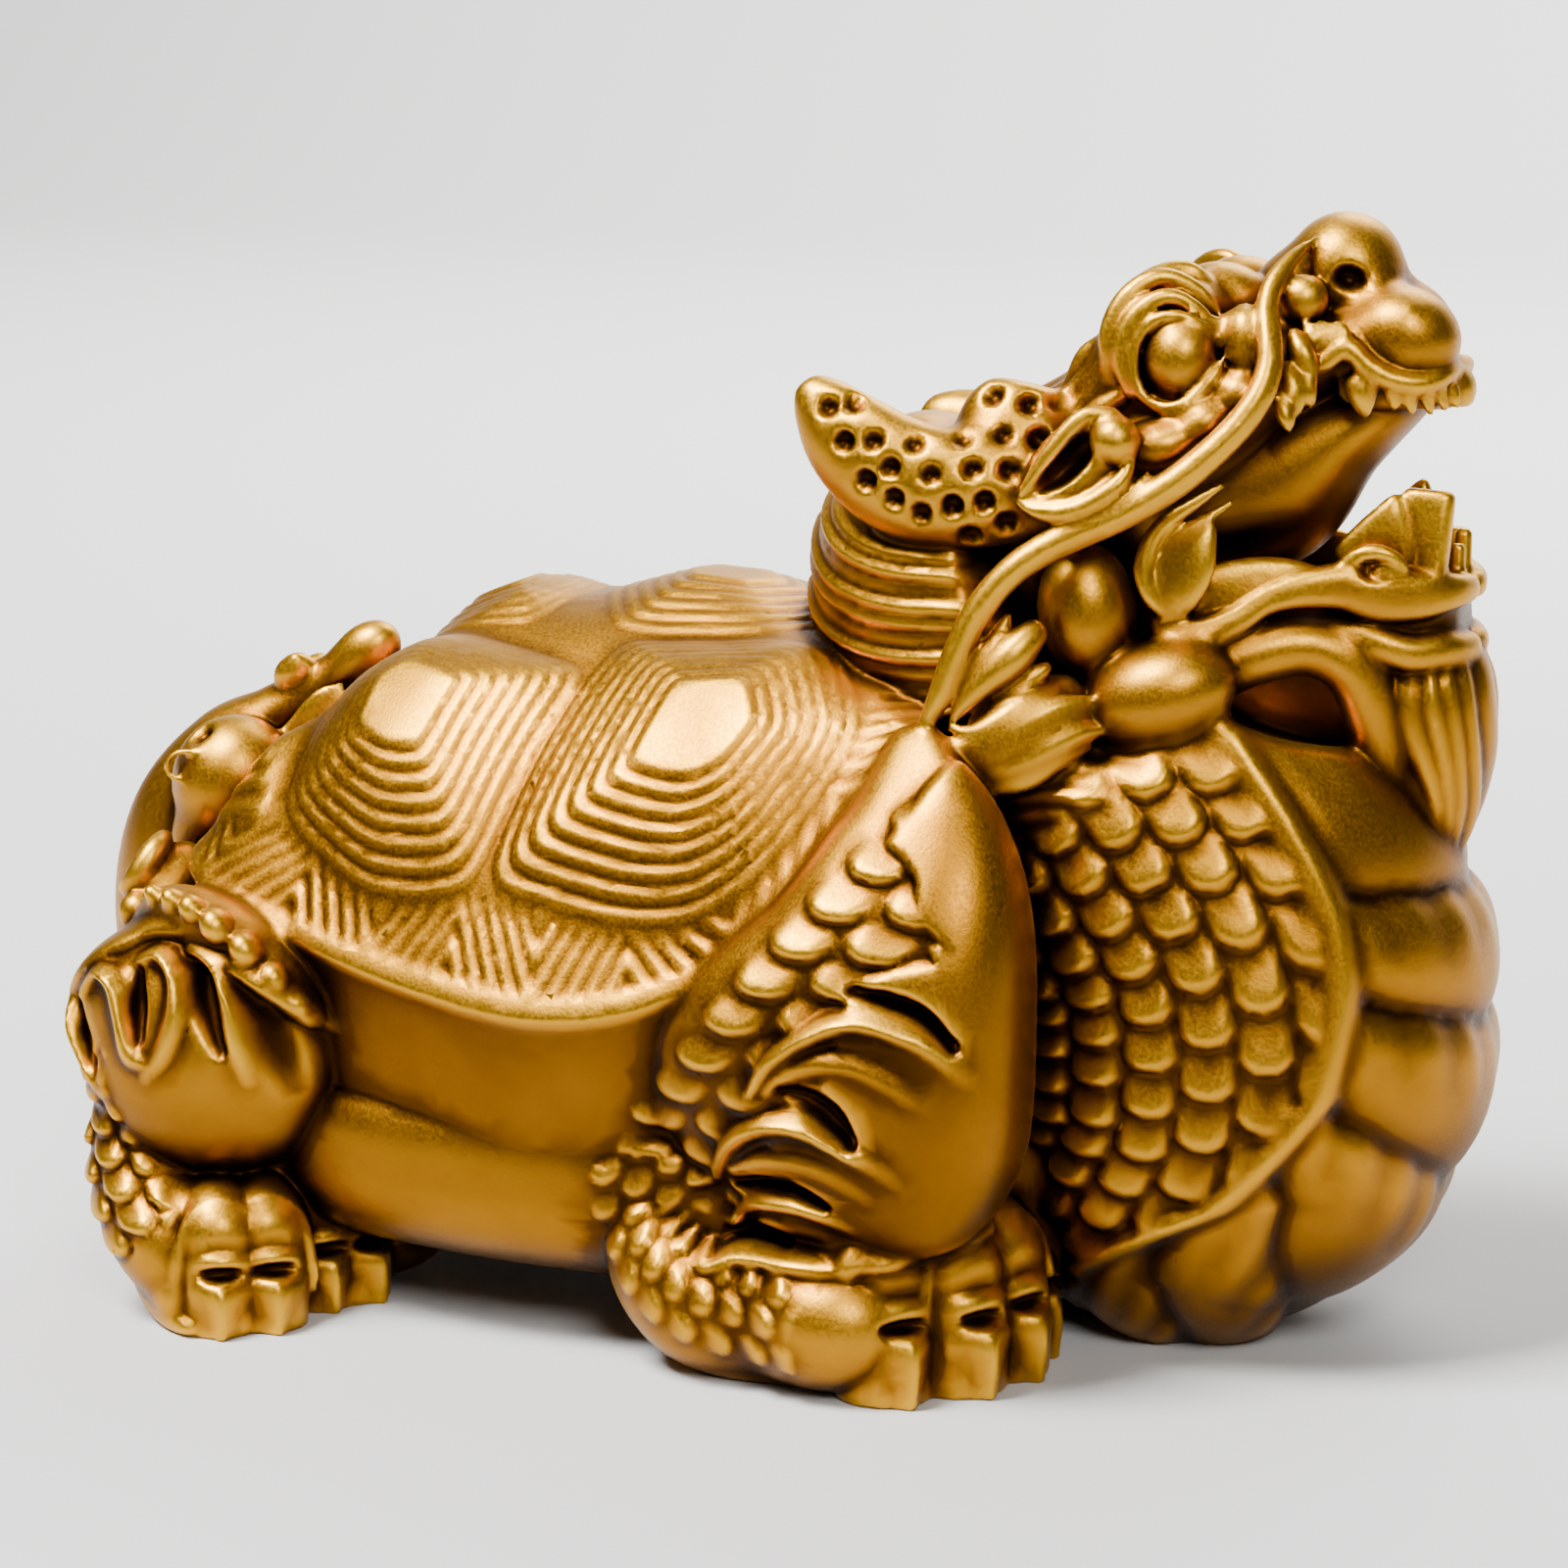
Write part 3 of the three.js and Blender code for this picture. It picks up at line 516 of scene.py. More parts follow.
def brows(clay):
    """Brows, eyes in their lids, the cheeks under them and the tufts behind."""
    brow = [[44.5, -15, 120.6, 3, 4], [49.4, -15.4, 127.6, 4, 4], [54, -13.6, 134, 5.4, 5],
            [59.6, -11, 136.6, 6, 5.5], [65, -9.5, 135.5, 4, 4]]
    clay.add(sweep(brow), 1.2, both=True)
    clay.add(blob([62.4, -6, 138.6], [6.4, 5.2, 4.7], pitch=-8), 0.8, both=True)
    clay.add(blob([60.5, -9.6, 126.6], [9.6, 10.4, 8]), 1.5, both=True)
    clay.cut(blob([59.8, -20.6, 132], [5.8, 3.4, 6.4]), 0.6, both=True)
    clay.add(blob([59.7, -16.6, 131.7], [4.9, 5.0, 5.5], pitch=-10), 0.15, both=True)
    lids = [
        [[65.4, -16.6, 133.4, 0.4], [63.2, -18, 135.9, 0.7], [60, -18.9, 137.4, 0.8],
         [56.8, -19.6, 136.6, 0.8], [54.7, -20, 133.6, 0.8], [54.6, -20.2, 129.8, 0.8],
         [56.4, -20.4, 126.6, 0.8], [59.8, -20.6, 125.8, 0.9], [63, -19.9, 127.8, 0.9],
         [65, -18.6, 130.6, 0.8], [65.9, -17.2, 133.2, 0.4]],
        [[65.2, -15.8, 134.8, 0.5], [62, -16.8, 138, 1.0], [58.2, -17.8, 139.6, 1.2],
         [54.6, -19.2, 137.6, 1.2], [52.6, -20, 133.4, 1.1], [53.2, -20, 128.8, 0.9],
         [55.2, -20, 125.4, 0.5]],
        [[64.8, -14.2, 136.4, 0.6], [61.4, -14.4, 140, 1.2], [56.8, -15.8, 141.8, 1.4],
         [52.8, -17.8, 139.4, 1.4], [50.6, -19, 134.6, 1.2], [51.2, -19, 129.6, 0.9],
         [53, -18.6, 126.2, 0.4]],
        [[64.4, -12, 137.4, 0.7], [61.4, -11, 141, 1.1], [58.8, -11, 142.6, 1.2], [55.6, -13, 142, 1.3],
         [52.6, -15.8, 139.6, 1.3], [50.8, -17, 135.6, 1.2], [50.2, -17.6, 131.6, 0.9],
         [51.2, -17.4, 128, 0.4]],
        [[62.4, -17.2, 136, 0.5], [64, -16.2, 136, 0.9], [65.8, -14.6, 137, 0.9],
         [67.8, -12.6, 139.4, 0.4]],
        [[62.6, -17.2, 135.6, 0.5], [64.6, -16.6, 134.3, 0.9], [66.6, -15.2, 136.2, 0.9],
         [68.6, -13.6, 138.4, 0.4]],
    ]
    for lid in lids:
        clay.add(sweep(lid, blunt=3, fine=0.6), 0.5, both=True)
    cheek = [([68.2, -15.4, 133.4], [2.6, 3, 5.0], 8), ([67.4, -17, 127.4], [3.2, 3.2, 2.8], 35),
             ([63.2, -19, 123.6], [3.8, 3.4, 2.8], 35), ([57.4, -20.4, 120.6], [5.6, 4, 3.4], 12)]
    for centre, radii, pitch in cheek:
        clay.add(blob(centre, radii, pitch=pitch), 1.6, both=True)
    for tuft in [
        [[53, -13, 135.4, 1.8], [49.7, -14.4, 133.2, 1.7], [47, -15, 131.8, 1.4], [45.2, -15, 129.4, 1.0],
         [43.4, -15, 126.6, 0.4]],
        [[53.6, -15, 133.4, 1.8], [50.4, -16, 131, 1.7], [47.4, -16.4, 128.8, 1.5], [45, -16.4, 126.2, 1.1],
         [43.2, -16, 123.4, 0.4]],
        [[54, -17, 131, 1.6], [51, -17.6, 128.7, 1.6], [48.2, -17.6, 126.5, 1.5], [45.6, -17.4, 124.2, 1.1],
         [43, -17, 121.8, 0.4]],
        [[54, -18.6, 127.6, 1.4], [51, -18.8, 125.8, 1.4], [48.4, -18.6, 124, 1.3], [45.6, -18.2, 122, 0.9],
         [43.4, -18, 120.6, 0.4]],
    ]:
        clay.add(sweep(tuft, blunt=3, fine=0.6), 0.3, both=True)


def upper_lip(clay):
    """The lip over the upper teeth, the teeth, and the folds of the mouth's corner."""
    lip = [[75.4, -12.8, 129.8, 0.8, 1.1], [77.6, -12.8, 131.4, 1.2, 1.4], [80.1, -12.2, 133.4, 1.4, 1.4],
           [82.6, -11.8, 131, 1.4, 1.5], [86, -10.9, 129.2, 1.5, 1.5], [89.4, -9.2, 128.8, 1.6, 1.5],
           [91.4, -6, 129.8, 1.7, 1.6], [91.8, 0, 130.2, 1.8, 1.7]]
    clay.add(sweep(lip, blunt=4), 0.6, both=True)
    for ridge in [
        [[74, -12.4, 136.6, 0.6], [76.4, -12.8, 134.6, 1.0], [77, -12.6, 131.6, 0.4]],
        [[76, -12, 136.8, 0.6], [78, -12.2, 134.8, 1.0], [77.8, -12.2, 131.8, 0.4]],
        [[78, -11.6, 136.8, 0.6], [79.8, -11.8, 135.2, 0.9], [79.4, -11.6, 133.2, 0.4]],
    ]:
        clay.add(sweep(ridge, fine=0.6), 0.4, both=True)
    gum = [[78.4, -8.8, 128.6, 1.2, 2.8], [82, -8.6, 128, 1.2, 2.8], [86, -7.5, 127.4, 1.3, 2.2],
           [90, -5.3, 127.2, 1.4, 2.2], [91.4, -2.6, 127.2, 1.5, 2.2], [91.6, 0, 127.2, 1.6, 2.2]]
    clay.add(sweep(gum, blunt=4, square=2.6), 0.3, both=True)
    teeth = [[81.4, -11, 130, 82.7, -11.2, 123.8, 2.3], [85.2, -10.4, 128.6, 86.4, -10.4, 124.6, 1.15],
             [87.4, -9.6, 128.2, 88.4, -9.5, 123.9, 1.15], [89.5, -8.4, 128.2, 90.6, -8.3, 123.8, 1.1],
             [91, -6.8, 128.4, 92.1, -6.6, 124, 1.0], [92.2, -4.6, 128.6, 93.2, -4.4, 124.4, 1.0]]
    for x0, y0, z0, x1, y1, z1, r in teeth:
        middle = [(x0 + x1) / 2, (y0 + y1) / 2 - 0.2, (z0 + z1) / 2, 0.85 * r]
        tooth = sweep([[x0, y0, z0, r], middle, [x1, y1, z1, 0.25]], blunt=3, square=1.6, fine=0.6)
        clay.add(tooth, 0.15, both=True)
    front_tooth = [[92, 0, 130, 2.6, 1.4], [92.8, 0, 127.6, 3, 1.6], [92.6, 0, 125, 2.4, 1.4]]
    clay.add(sweep(front_tooth, blunt=3), 0.4)
    folds = [
        [[73, -13.2, 136, 0.9], [75.2, -14.8, 132.4, 1.6], [77.4, -14.8, 128.4, 0.3]],
        [[72.6, -15.2, 132, 0.9], [74.4, -16.8, 128.2, 1.5], [75.3, -17, 124, 0.3]],
        [[75, -14.8, 131, 0.8], [76.3, -15.8, 128, 1.1], [76.6, -15.8, 125, 0.3]],
        [[71.8, -17, 128.6, 0.9], [73.8, -18.4, 125.2, 1.3], [74.7, -18.4, 122.2, 0.3]],
    ]
    for fold in folds:
        clay.add(sweep(fold, blunt=2.2, fine=0.6), 0.3, both=True)


def skull_hair(p):
    """Locks that run back over the skull between the horns."""
    line = np.abs(np.sin(p.turn * 26 * np.pi + 0.25 * np.sin(p.along / 5)))
    return 1.3 * (line ** 0.7 - 0.5) * smoothstep(46, 36, p.x) * smoothstep(112, 118, p.z)


def lower_jaw(clay):
    """The jaw with its lip, chin, jowls and the fin at the mouth's corner."""
    jaw = [[48, 0, 97, 17, 8], [60, 0, 95.5, 16.5, 7], [70, 0, 97.2, 14.6, 4.8], [80, 0, 98, 12, 5],
           [88, 0, 97.8, 11, 5.4], [94, 0, 97.8, 8.4, 4.6]]
    web = [[44, 0, 112, 17, 14], [56, 0, 113, 15.5, 13.5], [68, 0, 115.6, 12.4, 12],
           [78, 0, 121.6, 9.4, 6.4], [88.6, 0, 128, 7, 3.2]]
    core = [[48, 0, 86, 8, 15], [64, 0, 85, 3, 13], [78, 0, 85, 2.6, 11], [88, 0, 86, 5, 9]]
    for form in (jaw, web, core):
        clay.add(sweep(form, blunt=4), 1.0)
    clay.add(sweep([[62, -14.6, 106.6, 1.4, 1.8], [70, -13, 108.6, 1.3, 1.5], [77, -11, 110.4, 0.6, 0.6]]),
             1.0, both=True)
    lip = [[57.4, -19.8, 98.8, 1.4], [60.2, -20.2, 97.2, 1.9], [64.2, -19.3, 97.2, 2.0],
           [68, -17.9, 98.7, 1.9], [71.4, -16.4, 101.2, 1.9], [75.6, -14.8, 102.6, 2.2, 2.4],
           [80.5, -12.9, 103, 2.4, 3.0], [85, -11.2, 102, 2.8, 3.6], [89.6, -9, 101.8, 2.8, 3.2],
           [92.4, -6, 102, 2.8, 2.5], [93.8, -2.6, 102, 2.6, 2.2], [94, 0, 102, 2.6, 2.2]]
    clay.add(sweep(lip, blunt=4, square=3), 0.5, both=True)
    arch = [[79.2, -13.4, 104.6, 0.7], [81.5, -13.4, 106.6, 1.1], [84.4, -13, 107.6, 1.2],
            [87.2, -12.4, 106.7, 1.1], [88.8, -11.6, 104.6, 0.8]]
    clay.add(sweep(arch, blunt=3), 0.5, both=True)
    clay.cut(blob([85.4, -13.8, 105.2], [2.8, 1.6, 1.4]), 0.4, both=True)
    clay.add(blob([85.9, -12.2, 104.9], [2.2, 1.2, 1.3]), 0.2, both=True)
    chin = [[78, -12.6, 98, 1.2, 1.4], [84, -11.6, 96, 2.4, 2.2], [88.6, -10, 94.4, 2.7, 2.4],
            [92, -7.2, 94.6, 2.8, 2.4], [93.8, -3.4, 94.4, 2.7, 2.2], [94.2, 0, 94.4, 2.7, 2.2]]
    clay.add(sweep(chin, blunt=4, square=2.4), 0.6, both=True)
    lower_teeth(clay)
    clay.add(blob([48.8, -20.2, 99.4], [6.4, 6.4, 8.8], pitch=8), 0.3, both=True)
    clay.add(blob([58.6, -21.2, 88.8], [10.4, 7.8, 7], pitch=20), 2.5, both=True)
    band = [[58, -19, 89.6, 5, 6.4], [64.4, -17, 91.8, 4.8, 5.0], [70, -15, 94, 4.4, 4.2],
            [76, -12.6, 95, 4.2, 3.9], [81.4, -10.6, 92.4, 4.4, 4], [84.4, -8.6, 86, 4.8, 4.6],
            [85.8, -6.6, 77.6, 5, 4.8], [87, -4.6, 69, 4, 4]]
    clay.add(sweep(band), 1.0, both=True)
    fin = [[59, -20.4, 97, 1.0, 1.0], [60.8, -20.8, 101.6, 1.5, 3.0], [62.6, -20.4, 106.4, 1.4, 3.4],
           [64.2, -19.8, 109.6, 1.1, 1.9], [65.4, -19.4, 111.8, 0.4, 0.4]]
    skin = [[61.6, -18.8, 101, 1.3, 3.8], [66.6, -17.2, 102.4, 1.3, 4.0], [72, -15.2, 104.2, 1.3, 2.8],
            [77, -13.8, 105.4, 1.1, 0.9]]
    for form in (fin, skin):
        clay.add(sweep(form, blunt=3, fine=0.7), 0.4, both=True)
    for strand in [
        [[68.4, -17.8, 117.6, 0.5], [63.6, -19.8, 114.3, 0.9], [58.4, -21, 110.4, 1.2],
         [56.6, -22, 105.8, 1.3], [57.6, -22.2, 101.8, 1.2], [59.6, -21.4, 98.8, 0.7]],
        [[69.6, -16.8, 115.4, 0.5], [65, -18.6, 112.4, 0.8], [60.6, -20, 109.3, 1.0], [59, -21, 105.2, 1.1],
         [59.4, -21.2, 101.4, 1.0], [60.4, -20.6, 98.4, 0.5]],
    ]:
        clay.add(sweep(strand, blunt=3), 0.3, both=True)


def lower_teeth(clay):
    """The broad tusk at the side of the jaw, its web and the front teeth."""
    slab = [[90, -7.9, 101, 2.4, 2.2], [90, -7.9, 105.4, 2.9, 2.0], [90, -7.7, 110, 3.3, 1.8],
            [90.3, -7.5, 115.2, 3.4, 1.5]]
    clay.add(sweep(slab, across=[1, 0, 0], blunt=14, square=5), 0.2)
    web = [[79, -10.8, 106.6, 1.0, 1.0], [83.4, -9.8, 108.4, 1.2, 3.4], [88, -8.8, 109.6, 1.4, 6.2]]
    clay.add(sweep(web, blunt=6, square=3), 0.4, both=True)
    for x, y, high, r in [(90.8, 7.6, 108.6, 1.7), (93, 1.8, 109.3, 1.2), (93, -1.8, 107.8, 1.1)]:
        tooth = [[x - 0.2, y, 100, r, r + 0.2], [x - 0.1, y, 105, r, r], [x, y, high, 0.9 * r, 0.9 * r]]
        clay.add(sweep(tooth, across=[1, 0, 0], blunt=10, square=5), 0.2)


def beard_locks(p):
    wave = p.turn * np.pi * 15 + 1.6 * np.sin(p.along / 6) + 1.3 * np.sin(p.turn * 21)
    return 1.2 * (np.abs(np.sin(wave)) ** 0.6 - 0.6) * smoothstep(1, 5, p.along)


def beard(clay):
    """The beard under the chin, in wavy locks."""
    stations = [[87.4, 0, 96, 9.5, 7], [88.8, 0, 90, 11.5, 8.6], [90.2, 0, 83, 11, 8],
                [90.8, 0, 75, 9, 6.2], [90.6, 0, 67.5, 5, 4], [91.4, 0, 63, 2, 1.6]]
    clay.add(sweep(stations, blunt=4, relief=beard_locks, fine=0.6), 0.5)


HORN = [[48, -19.5, 115.5, 5, 6], [38, -23, 115, 5.8, 7.8], [30, -25, 115, 5.8, 7.8],
        [24, -25.5, 116.8, 5.4, 7.6], [18.6, -25.5, 120.6, 4.8, 6.6], [14.4, -25, 125, 3.8, 4.6],
        [12, -25, 128, 2.6, 2.6]]
PRONG = [[39, -19.5, 112, 5, 9], [38.6, -19, 118, 5.6, 9], [38.6, -18.6, 123.4, 5.4, 7.6],
         [39.4, -18, 128.2, 4, 5.4]]
HORN_PITS = [
    [36.4, -22, 126.6], [41.4, -22, 125.6], [44.6, -20.4, 125.8], [16.4, -28.4, 125], [19.6, -27.6, 125.6],
    [34.1, -27.2, 121.6], [38.9, -25.4, 122],
    [43.2, -23.6, 121.3], [19, -29.8, 120.7], [23, -30, 121], [28.4, -29.4, 120.8], [36, -28.9, 117.8],
    [40.4, -27.3, 117.6], [25.4, -30.4, 117.7],
    [30.9, -30.4, 117], [22.2, -30.3, 115.8], [26, -30.5, 113.6], [29.6, -30.2, 111.8],
    [33.6, -29.4, 112.9], [37.6, -28.5, 113.5], [40, -26.6, 110.6],
    [35.4, -27, 108.8],
]
WHISKER = [[74.6, -5.4, 147, 0.6], [72.2, -9.6, 144.2, 1.2], [70.6, -12.6, 141.2, 1.5],
           [70.4, -15, 138, 1.6], [71.4, -17.6, 134.3, 1.7], [71.8, -19.2, 131, 1.8],
           [70.8, -21, 127.2, 1.9], [67.6, -22.8, 122.6, 2.0], [61.6, -25, 117, 2.1],
           [54.3, -27, 112.4, 2.1], [47, -28.6, 109, 2.1], [41.8, -30.4, 105.4, 2.0],
           [37.8, -31.6, 100.4, 2.0], [35, -32.4, 94.6, 1.9], [33, -33, 89, 1.8], [30.4, -33.4, 83.6, 1.2]]


def far_side(point):
    """The far horn stands lower than the near one, which hides it in the photograph."""
    x, y, z, *rest = point
    return [x, -y, z - 0.5 * max(z - 112, 0), *rest]


PIT = [1.6, 2.0, 1.55]


def horns(clay):
    """Two-pronged horns that lie back, pitted all over."""
    for form, blunt, soft in ((HORN, 4, 0.8), (PRONG, 3.5, 3.0)):
        clay.add(sweep(form, blunt=blunt), soft)
        clay.add(sweep([far_side(station) for station in form], blunt=blunt), soft)
    for x, y, z in HORN_PITS:
        pit = [x, y - 0.5, z + 0.3]
        clay.cut(blob(pit, PIT), 0.3)
        clay.cut(blob(far_side(pit), PIT), 0.3)


def ears(clay):
    """Leaf-shaped ears with a rolled edge and a ball at the root."""
    leaf = [[55, -22, 121.8, 4.4, 3], [50, -24, 119.4, 4.8, 5.4], [45.4, -26, 116, 4, 4.2],
            [41.6, -28, 113.8, 1.2, 0.9]]
    clay.add(sweep(leaf, blunt=3), 0.4, both=True)
    hollow = [[52.4, -27.6, 123.6, 3, 0.9], [49.8, -28.4, 121, 4.4, 2.1], [46.8, -29.4, 117.6, 4, 1.9],
              [43.8, -30.4, 115, 1.4, 0.6]]
    clay.cut(sweep(hollow), 0.3, both=True)
    for rim in [
        [[54.6, -25.4, 125.6, 0.8], [50, -26.6, 125, 1.2], [46, -28, 120.6, 1.2],
         [41.8, -29.4, 114.2, 0.7]],
        [[41.6, -29.4, 114, 0.7], [46, -29.2, 112.8, 1.3], [50.6, -28.6, 113.8, 1.4],
         [54.8, -27.6, 116.8, 1.3], [56.6, -26, 120.4, 0.7]],
        [[47, -28, 110.8, 0.6], [52, -28, 112, 1.0], [56.4, -26.6, 115.4, 1.0], [58.4, -25, 119, 0.5]],
    ]:
        clay.add(sweep(rim, blunt=3), 0.4, both=True)
    clay.add(blob([53.8, -26, 122], [3.3, 3.3, 3.3]), 0.2, both=True)


def whisker_crease(p):
    away = np.minimum(np.abs(p.turn - 0.62), 1 - np.abs(p.turn - 0.62))
    return -0.5 * np.exp(-(away / 0.035) ** 2) * smoothstep(8, 14, p.along)


def whiskers(clay):
    """The long whisker from the nose past the cheek to the neck, with a crease along it."""
    clay.add(sweep(WHISKER, blunt=5, relief=whisker_crease, fine=0.6), 0.3, both=True)


def cheek_locks(clay):
    """The tuft of pointed locks behind the jowl."""
    locks = [
        [[34.4, -32, 87, 0.4], [35.8, -32, 90.5, 0.8], [38.6, -31, 94.9, 1.2], [41.3, -28.6, 100, 1.0]],
        [[34, -32.8, 85.2, 0.4], [35.4, -32.6, 87, 0.9], [38.2, -32, 90.6, 1.8], [42, -30.4, 94.6, 2.7],
         [45, -27.4, 98.4, 2.4]],
        [[37.4, -31.8, 85.8, 0.4], [39.4, -31.3, 87.4, 0.9], [42.3, -30.2, 89.9, 1.3],
         [46.4, -27.8, 93.4, 1.4]],
        [[33.4, -33.8, 85.6, 0.3], [35.7, -33.2, 84.9, 0.8], [38, -33, 84.7, 1.4], [40.8, -32, 86.0, 1.9],
         [44, -30.2, 88.2, 2.0], [47.4, -27.4, 90, 1.6]],
        [[31.6, -34.2, 84.4, 0.3], [33.8, -33.6, 83.2, 0.9], [36.5, -33.4, 82.8, 1.4],
         [40.5, -32.6, 83.9, 1.8], [44.2, -31.2, 86.1, 2.0], [47.9, -29.2, 88, 1.9],
         [52.8, -26, 89.2, 0.6]],
        [[31.4, -34.2, 83.2, 0.3], [33.4, -33.8, 81.9, 0.9], [36, -33.4, 81.2, 1.4],
         [40.3, -32.8, 82.0, 1.8], [44.3, -31.4, 84.2, 1.9], [48.4, -29.2, 86.4, 1.8],
         [52, -26, 87.4, 1.2]],
        [[32, -34, 81.6, 0.3], [34.6, -33.6, 80.4, 0.9], [38.6, -33.2, 79.9, 1.5], [43, -32, 81.0, 2.0],
         [46.7, -30.5, 83.1, 2.1], [50.4, -28.4, 84.8, 1.8], [54.6, -25.4, 84.8, 0.6]],
        [[33, -33.4, 79.6, 0.4], [36, -33.2, 78.6, 1.0], [39.5, -32.8, 78.2, 1.5], [43.9, -31.4, 79.2, 2.0],
         [48, -29.4, 81.8, 1.9], [52, -27, 83.2, 1.0]],
    ]
    root = [[36, -30, 83.4, 2, 2.6], [42, -28.6, 85.6, 3, 5], [50, -24, 88, 3, 5]]
    clay.add(sweep(root, blunt=3), 0.6, both=True)
    for lock in locks:
        clay.add(sweep(lock, blunt=3, fine=0.6), 0.3, both=True)


# The paws. Each tip is where a claw meets the floor and the way its toe points, in degrees from +X.
# A toe's stations are along it, across it and up from its tip, before the paw's size.
TOE = [[-29, 0, 8, 5.6, 7], [-20, 0, 12, 6.8, 8.4], [-11.6, 0, 12.6, 7.2, 8.6], [-4.4, 0, 11, 5.8, 6.4]]
TOE_FOOT = [[-8.2, 0, 12, 5.6], [-7.6, 0, 5, 5.7], [-7.8, 0, -2, 5.6]]
KNUCKLE_FOLD = [[-13.6, -7.4, 3, 0.7], [-14, -7.4, 10, 1.0], [-15, -5.4, 18, 1.0], [-15.6, 0, 20.8, 1.0],
                [-15, 5.4, 18, 1.0], [-14, 7.4, 10, 1.0], [-13.6, 7.4, 3, 0.7]]
CLAW_FOLD = [[-6.4, -6.4, 4, 0.6], [-5.8, -6.3, 9, 0.8], [-6.8, -4.6, 16, 0.8], [-7.4, 0, 18.9, 0.8],
             [-6.8, 4.6, 16, 0.8], [-5.8, 6.3, 9, 0.8], [-6.4, 6.4, 4, 0.6]]
CLAW = [[-4.8, 0, 8.4, 2.4, 1.4], [-4.0, 0, 7.2, 4.8, 3.2], [-3.7, 0, 4.4, 4.2, 3.6],
        [-3.4, 0, 1.2, 2.8, 3.0], [-3.4, 0, -2, 2.2, 2.8]]
SLOT_BACK, SLOT_HEIGHT = 2, 9.2
SLOT = [2.8, 4.5, 1.1]


def at_tip(stations, tip, size):
    """A toe's stations, sized, turned and moved to its tip."""
    x, y, heading = tip
    c, s = math.cos(math.radians(heading)), math.sin(math.radians(heading))
    scaled = [[size * value for value in station] for station in stations]
    return [[x + u * c - v * s, y + u * s + v * c, z, *radii] for u, v, z, *radii in scaled]


def paw(clay, tips, size, side):
    """Round toes with a fold round the knuckle and another over the claw, and a slot above the claw."""
    slots = []
    for tip in tips:
        x, y, heading = tip
        c, s = math.cos(math.radians(heading)), math.sin(math.radians(heading))
        flat, upright = (-s, c, 0), (c, s, 0)
        for stations, across, blunt, soft in ((TOE, flat, 3, 0.2), (TOE_FOOT, flat, 6, 0.5),
                                              (KNUCKLE_FOLD, upright, 8, 0.4),
                                              (CLAW_FOLD, upright, 8, 0.5)):
            form = sweep(at_tip(stations, tip, size), across=across, blunt=blunt)
            clay.add(on_side(form, side), soft)
        claw = sweep(at_tip(CLAW, tip, size), across=flat, blunt=20, square=1.0, fine=0.5)
        clay.add(on_side(claw, side), 0.1)
        back = SLOT_BACK * size
        slots.append(blob([x - back * c, y - back * s, SLOT_HEIGHT * size], SLOT, yaw=heading))
    for slot in slots:
        clay.cut(on_side(slot, side), 0.3)


NEAR_FOREPAW = [[37, -52, -42], [45.4, -44.6, -36], [49.4, -35.6, -28], [48.6, -25.4, -16]]
FAR_FOREPAW = [[58.6, -36, -14], [62, -26.8, -4], [62, -17.4, 6], [58.6, -8.6, 14]]
HIND_PAW = [[-58.8, -57.3, -62], [-52.5, -52.3, -50], [-49.4, -40.9, -38], [-45, -34, -18]]

# The foreleg, drawn on the side view: the smooth plate of the shoulder, the scales' edges and the flames
# that lick over the plate, with a slit beside each
FORELEG_PLATE = [[30, 72.4], [34.6, 69], [36, 64.4], [40.4, 59.8], [36, 58.6], [31, 57], [27.6, 53.4],
                 [26.4, 48], [25, 43], [22.6, 37], [20.6, 31], [18, 25], [16.4, 19.4], [24, 17], [42, 20],
                 [56, 30], [60, 50], [56, 70], [40, 84]]
FORELEG_EDGE = [[33, 79], [25, 70.6], [18.4, 63.4], [11.8, 55.4], [5.6, 47.6], [-0.4, 40.4], [-5, 33.6],
                [-7.6, 27]]
WRIST_EDGE = [[-9.8, 29], [-9.6, 20], [-5.4, 12.6], [1.6, 7.4], [10.6, 4.6], [21, 3.8]]
FORELEG_TONGUES = [
    [[46, 41, 4.4, 1], [41, 47, 3.2, 1.9], [35.8, 49.9, 2.4, 2.6], [29.2, 51.2, 2.2, 2.8],
     [22.9, 48.7, 2.1, 2.8], [18.3, 45, 1.8, 2.6], [15.4, 40.6, 0.9, 1.8]],
    [[40, 40, 3.7, 1.2], [32.5, 44.6, 2.9, 2], [26.8, 45.8, 2.7, 2], [21.2, 44.5, 2.2, 1.9],
     [17.4, 41, 1.0, 1.4]],
    [[40, 26, 4.1, 1], [34, 31.4, 3.4, 1.6], [28.1, 35, 2.4, 2.6], [22.3, 36.9, 2.2, 2.8],
     [16.5, 36.4, 2.1, 2.8], [11.7, 33.1, 1.8, 2.6], [8.4, 27.6, 0.9, 1.8]],
    [[33, 27, 3.7, 1.2], [24.6, 31.4, 3.2, 2.2], [17.6, 31.6, 2.7, 2.2], [11.4, 29.2, 1.3, 1.6]],
    [[31, 22, 2.9, 1.2], [23.1, 25, 2.1, 2.4], [16.1, 25.2, 2.0, 2.6], [12.1, 23.6, 1.6, 2.2],
     [9.6, 20.2, 0.7, 1.6]],
    [[30, 20.4, 3.2, 1.2], [22, 21.6, 2.4, 1.8], [14, 21.4, 1.5, 1.4]],
    [[28, 18.6, 2.2, 1], [19.1, 18.1, 1.7, 1.8], [11.7, 17.8, 1.6, 1.8], [7.6, 15.8, 0.7, 1.2]],
]
